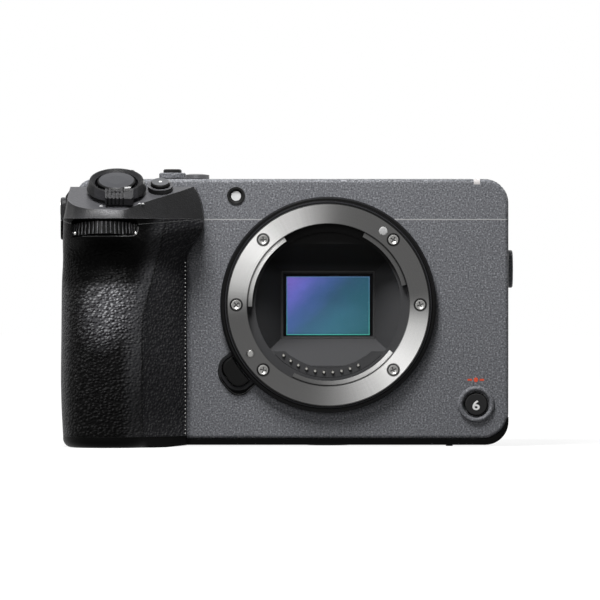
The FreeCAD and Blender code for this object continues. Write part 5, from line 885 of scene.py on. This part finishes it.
def cut(piece, form):
    """Cuts a gathered form out of a piece."""
    cutter = bpy.data.objects.new("cutter", form.mesh("cutter"))
    bpy.context.scene.collection.objects.link(cutter)
    step = piece.modifiers.new("cut", "BOOLEAN")
    step.operation = "DIFFERENCE"
    step.solver = "EXACT"
    step.object = cutter
    view = bpy.context.evaluated_depsgraph_get()
    cut_mesh = bpy.data.meshes.new_from_object(piece.evaluated_get(view))
    piece.modifiers.clear()
    piece.data = cut_mesh
    bpy.data.objects.remove(cutter)
    smooth(piece, 30.0)


def rectangle(x, y, half_x, half_y):
    """Outline of a rectangle about a middle."""
    return [(x + sx * half_x, y + sy * half_y) for sx, sy in ((-1, -1), (1, -1), (1, 1), (-1, 1))]


# Pieces of the mount.


def make_mount_screws():
    """Six screws with dished heads and cross recesses, each turned another way."""
    head_sunk = 0.12
    profile = ((0, -0.36), (0.62, -0.34), (1.0, -0.12), (1.18, 0.0), (1.4, -0.03), (1.56, -0.2),
               (1.6, -0.5), (1.6, -0.82), (0.93, -0.84), (0.93, -6.8), (0, -6.8))
    arm = 1.02
    half = 0.2
    cross = []
    for cosine, sine in ((1, 0), (0, 1), (-1, 0), (0, -1)):
        for x, y in ((arm, half), (half, half), (half, arm)):
            cross.append((cosine * x - sine * y, sine * x + cosine * y))
    screws = Build()
    crosses = Build()
    for number, degrees in enumerate(SCREW_ANGLES):
        x, z = on_ring(degrees)
        place = facing_front(x, FLANGE_Y + head_sunk, z, 20.0 + 37.0 * number)
        screws.turned(profile, place)
        crosses.prism(cross, place, 0.3, -0.95, 0.72)
    mount_screws = screws.piece("mount_screws_detailed", "camera_body", SCREW, "satin_silver")
    cut(mount_screws, crosses)
    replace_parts(mount_screws, "mount_screws")


def make_filter_pane():
    """Filter glass over the sensor, bevelled, a hair clear of the sensor's face."""
    low, high = (Vector(corner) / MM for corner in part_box("sensor_glass"))
    clearance = 0.06
    bevel = 0.15
    thick = high.y - low.y - clearance
    half_x = (high.x - low.x) / 2
    half_z = (high.z - low.z) / 2
    sections = []
    for inset, depth in ((bevel, 0.0), (0.0, bevel), (0.0, thick - bevel), (bevel, thick)):
        outline = rectangle(low.x + half_x, low.z + half_z, half_x - inset, half_z - inset)
        sections.append([(x, low.y + depth, z) for x, z in outline])
    pane = Build()
    pane.through(sections)
    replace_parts(pane.piece("filter_pane", "sensor_unit", GLASS, "clear_glass"), "sensor_glass")


def make_index_dot():
    """Domed index dot of the lens mount."""
    x, z = on_ring(INDEX_DOT_ANGLE)
    profile = ((0, 0.05), (0.9, 0.04), (1.2, 0.0), (1.27, -0.06), (1.27, -0.13), (0, -0.13))
    dot = Build()
    dot.turned(profile, facing_front(x, FLANGE_Y, z))
    dot.piece("index_dot", "camera_body", DOT, "white_window")


def make_baffle_window_frame():
    """Fine raised frame round the baffle's window."""
    corners = rectangle(0.0, LENS_Z, *WINDOW_HALF)
    window = Build()
    for start, end in zip(corners, corners[1:] + corners[:1]):
        window.wire(skin_line("light_baffle", start, end, 8), 0.13)
    window.piece("baffle_window_frame", "camera_body", RIM, "black_plastic", 60.0)


def lobe(half_angle, outer):
    """Round end of a lobe beside the mount, as places in the front plane."""
    steps = 20
    points = []
    for step in range(-steps, steps + 1):
        share = step / steps
        rise = (1 - abs(share) ** 3) ** (1 / 3)
        turn = math.radians(RELEASE_ANGLE + half_angle * share)
        reach = LOBE_ROOT_R + (outer - LOBE_ROOT_R) * rise
        points.append((reach * math.cos(turn), LENS_Z + reach * math.sin(turn)))
    return points


def make_release_button_seat():
    """Black band on the cover round the release button, with a fine raised line in it."""
    proud = FRONT_Y - 0.05
    sunk = FRONT_Y + 0.1
    sections = []
    for (outer_x, outer_z), (inner_x, inner_z) in zip(lobe(10.0, 38.3), lobe(8.2, 36.6)):
        sections.append([(outer_x, proud, outer_z), (inner_x, proud, inner_z),
                         (inner_x, sunk, inner_z), (outer_x, sunk, outer_z)])
    seat = Build()
    seat.through(sections)
    seat.piece("release_button_seat", "camera_body", BASE, "black_plastic")
    rim = Build()
    rim.wire([(x, FRONT_Y - 0.06, z) for x, z in lobe(9.5, 37.95)], 0.13)
    rim.piece("release_button_rim", "camera_body", RIM, "black_plastic", 60.0)


# Pieces of the front cover.


def make_parting_line():
    """Bright strip in the joint of the covers, from the grip's head round to the right side."""
    start_x = -36.2
    end_y = 19.5
    corner_r = 1.2
    bend_steps = 12
    proud = 0.03
    sunk = 0.5
    half_width = 0.13
    stations = [(start_x, FRONT_Y, 0.0, -1.0)]
    for step in range(bend_steps + 1):
        turn = math.radians(-90 + 90 * step / bend_steps)
        out_x = math.cos(turn)
        out_y = math.sin(turn)
        x = BODY_RIGHT - corner_r + corner_r * out_x
        y = FRONT_Y + corner_r + corner_r * out_y
        stations.append((x, y, out_x, out_y))
    stations.append((BODY_RIGHT, end_y, 1.0, 0.0))
    profile = rectangle((proud - sunk) / 2, PARTING_Z, (proud + sunk) / 2, half_width)
    parting = Build()
    parting.through([[(x + out_x * reach, y + out_y * reach, z) for reach, z in profile]
                     for x, y, out_x, out_y in stations])
    parting.piece("parting_line", "camera_body", PARTING, "body_paint")


def make_button_number():
    """Plain figure on the front record button, a little wider than the typeface has it."""
    size = 3.8
    curve = bpy.data.curves.new("button_number", "FONT")
    curve.body = "6"
    curve.size = size * MM
    curve.align_x = "CENTER"
    curve.align_y = "CENTER"
    curve.extrude = 0.025 * MM
    curve.offset = 0.02 * size * MM
    curve.resolution_u = 6
    flat = bpy.data.objects.new("button_number_curve", curve)
    bpy.context.scene.collection.objects.link(flat)
    view = bpy.context.evaluated_depsgraph_get()
    mesh = bpy.data.meshes.new_from_object(flat.evaluated_get(view))
    bpy.data.objects.remove(flat)
    place = facing_front(REC_AT[0] - 0.05, FRONT_Y - 0.47, REC_AT[1] - 0.45)
    place = place @ Matrix.Diagonal((1.2, 1.0, 1.0, 1.0))
    number = Build()
    number.add([place @ (corner.co / MM) for corner in mesh.vertices],
               [list(face.vertices) for face in mesh.polygons])
    bpy.data.meshes.remove(mesh)
    number.piece("button_number", "front_record_button", MARK, "white_window")


def make_record_ring_bead():
    """Rounded bead on the ring of the front record button."""
    profile = ((3.93, 0.0), (3.95, 0.55), (4.15, 0.86), (4.5, 0.98),
               (4.87, 0.93), (5.15, 0.65), (5.33, 0.25), (5.36, 0.0))
    bead = Build()
    bead.turned(profile, facing_front(REC_AT[0], FRONT_Y, REC_AT[1]), 96)
    bead.piece("record_ring_bead", "camera_body", PAINT, "body_paint", 60.0)


def make_record_mark():
    """Red dot between two short bars over the front record button."""
    place = facing_front(REC_MARK_AT[0], FRONT_Y, REC_MARK_AT[1])
    red_mark = Build()
    for offset in (-1.75, 1.75):
        red_mark.prism(rectangle(offset, 0.0, 0.62, 0.28), place, -0.02, 0.03)
    red_mark.turned(((0, 0.03), (0.62, 0.03), (0.66, 0.0), (0.66, -0.02), (0, -0.02)), place, 32)
    red_mark.piece("record_mark", "camera_body", RED_MARK, "red_lens")


# Pieces of the grip and its head.


def make_deck_marks():
    """Raised marker of the zoom lever, small triangles beside it, and a spot on the deck's button."""
    marker = Build()
    marker.prism(((2.5, -7.5), (4.5, -7.2), (4.4, -6.1), (2.3, -6.4)), on_deck(0, 0), 3.6, 4.95, 0.86)
    marker.piece("lever_marker", "zoom_lever", FAINT_MARK, "white_window")
    deck_marks = Build()
    for left, base, width in ((-4.9, -9.1, 1.2), (6.2, -7.6, 1.1), (7.2, -7.6, 1.1)):
        triangle = ((left, base), (left + width, base), (left + width / 2, base + 1.0))
        deck_marks.prism(triangle, on_deck(0, 0), -0.04, 0.03)
    deck_marks.piece("deck_marks", "camera_body", FAINT_MARK, "white_window")
    spot = Build()
    profile = ((0, 0.03), (0.42, 0.03), (0.46, 0.0), (0.46, -0.03), (0, -0.03))
    spot.turned(profile, on_deck(*DECK_BUTTON_AT, 2.6), 24)
    spot.piece("deck_button_mark", "deck_button", MARK, "white_window")


def make_grip_edge_studs():
    """Row of fine silver studs along the grip's edge, standing in for the glints on its stitching."""
    profile = ((0, 0.16), (0.12, 0.13), (0.19, 0.05), (0.2, -0.1), (0, -0.1))
    studs = Build()
    for number in range(STUD_COUNT):
        z = STUDS_LOW_Z + STUD_PITCH * number
        y = front_skin("grip_shell", STUDS_X, z)
        if y is not None:
            studs.turned(profile, facing_front(STUDS_X, y, z), 10)
    studs.piece("grip_edge_studs", "camera_body", SILVER, "satin_silver")


def make_dial_lip():
    """Lip wire under the front dial's window, with a bright silver stud at each end that stands in for the
    glint at each corner.
    """
    corner = ((9.5, 63.6), (9.45, 62.7), (9.2, 61.9), (8.7, 61.3), (8.0, 61.0))
    path = [(LIP_MIDDLE_X - aside, z) for aside, z in corner]
    path += [(x, LIP_LOW_Z) for x in (-70.5, -68.5, -66.5, -64.0, -61.5, -59.0, -57.4)]
    path += [(LIP_MIDDLE_X + aside, z) for aside, z in reversed(corner)]
    lip = Build()
    lip.wire([(x, front_skin("grip_shell", x, z) - 0.02, z) for x, z in path], 0.14, 10)
    lip.piece("dial_lip", "camera_body", RIM, "black_plastic", 60.0)
    # Silver studs stand in for the glints at the lip's corners.
    lip_glint_studs = Build()
    for x in (-72.75, -55.4):
        place = facing_front(x, front_skin("grip_shell", x, LIP_LOW_Z + 0.65), LIP_LOW_Z + 0.85)
        lip_glint_studs.turned(((0, 0.3), (0.25, 0.24), (0.4, 0.1), (0.44, -0.2), (0, -0.2)), place, 16)
    lip_glint_studs.piece("dial_lip_glint_studs", "camera_body", SILVER, "satin_silver")


def make_head_seams():
    """Fine seams beside the dial's window, between the grip's head and its rubber."""
    seams = Build()
    for start, end in (((-54.6, 64.35), (-36.9, 65.8)), ((-76.2, 65.3), (-74.0, 64.5))):
        seams.wire(skin_line("grip_shell", start, end, 24, sunk=0.03), 0.09)
    seams.piece("head_seams", "camera_body", SEAM, "black_plastic")


make_mount_screws()
make_filter_pane()
make_index_dot()
make_parting_line()
make_button_number()
make_record_ring_bead()
make_record_mark()
make_deck_marks()
make_grip_edge_studs()
make_release_button_seat()
make_baffle_window_frame()
make_dial_lip()
make_head_seams()


# Floor, light and camera, placed in metres.


def make_floor():
    """Pale floor, a little darker round the object, which the camera sees nearly white."""
    floor_mesh = bpy.data.meshes.new("floor")
    floor_mesh.from_pydata([(x, y, 0.0) for x, y in rectangle(0, 0, 6, 6)], [], [(0, 1, 2, 3)])
    floor = bpy.data.objects.new("floor", floor_mesh)
    bpy.context.scene.collection.objects.link(floor)
    s = Surface("pale_floor", Specular_IOR_Level=0.0, Roughness=0.9)
    s.set("Base Color", s.mix(s.noise(60.0, 3.0), 0.12, 0.14))
    s.set("Normal", s.bump(s.noise(4.0), 0.01))
    s.set("Emission Color", colour(1.0))
    x, y, _ = s.axes()
    glow = s.spread(s.length(x, y), 100.0, 450.0, 0.88, 1.0)
    s.set("Emission Strength", s.times(sees_background(s.tree), glow))
    floor_mesh.materials.append(s.material)


def make_world():
    """Soft light from all round, with a white background."""
    world = bpy.data.worlds.new("studio")
    bpy.context.scene.world = world
    world.use_nodes = True
    tree = world.node_tree
    tree.nodes.clear()
    soft = add_node(tree, "ShaderNodeBackground", {"Color": (0.96, 0.98, 1.0, 1.0), "Strength": 0.11})
    white = add_node(tree, "ShaderNodeBackground", {"Color": colour(1.0), "Strength": 1.0})
    inputs = {0: sees_background(tree), 1: soft.outputs[0], 2: white.outputs[0]}
    blend = add_node(tree, "ShaderNodeMixShader", inputs)
    add_node(tree, "ShaderNodeOutputWorld", {0: blend.outputs[0]})


def add_lamp(name, at, size, power, aim=(0.0, 0.0, 0.04)):
    """Square soft box aimed at a point."""
    light = bpy.data.lights.new(name, "AREA")
    light.shape = "SQUARE"
    light.size = size
    light.energy = power
    made = bpy.data.objects.new(name, light)
    made.location = at
    made.rotation_euler = (Vector(aim) - Vector(at)).to_track_quat("-Z", "Y").to_euler()
    bpy.context.scene.collection.objects.link(made)


def make_camera():
    """Long lens straight in front, as the photograph has almost no perspective."""
    middle_x = -0.0082
    middle_z = 0.0426
    distance = 2.0
    photo_camera = bpy.data.cameras.new("photo_camera")
    photo_camera.lens = 408.0
    photo_camera.sensor_width = 36.0
    photo_camera.clip_end = 30.0
    camera = bpy.data.objects.new("photo_camera", photo_camera)
    camera.location = (middle_x, -distance, middle_z)
    camera.rotation_euler = (math.radians(90), 0, 0)
    bpy.context.scene.collection.objects.link(camera)
    bpy.context.scene.camera = camera


make_floor()
make_world()
add_lamp("key", (-0.50, -1.17, 0.49), 0.32, 3.0)
add_lamp("top", (-0.06, -0.165, 0.31), 0.11, 2.2, aim=(0.0, -0.02, 0.05))
add_lamp("hair", (-0.06, 0.72, 1.0), 0.5, 1.6, aim=(0.0, 0.0, 0.05))
add_lamp("back", (0.6, 1.3, 0.5), 0.5, 8.0)
add_lamp("left", (-1.3, 0.2, 0.5), 0.4, 3.5)
add_lamp("right", (1.3, 0.2, 0.5), 0.4, 2.5)
make_camera()
bpy.context.scene.view_settings.view_transform = "Standard"

bpy.context.view_layer.update()
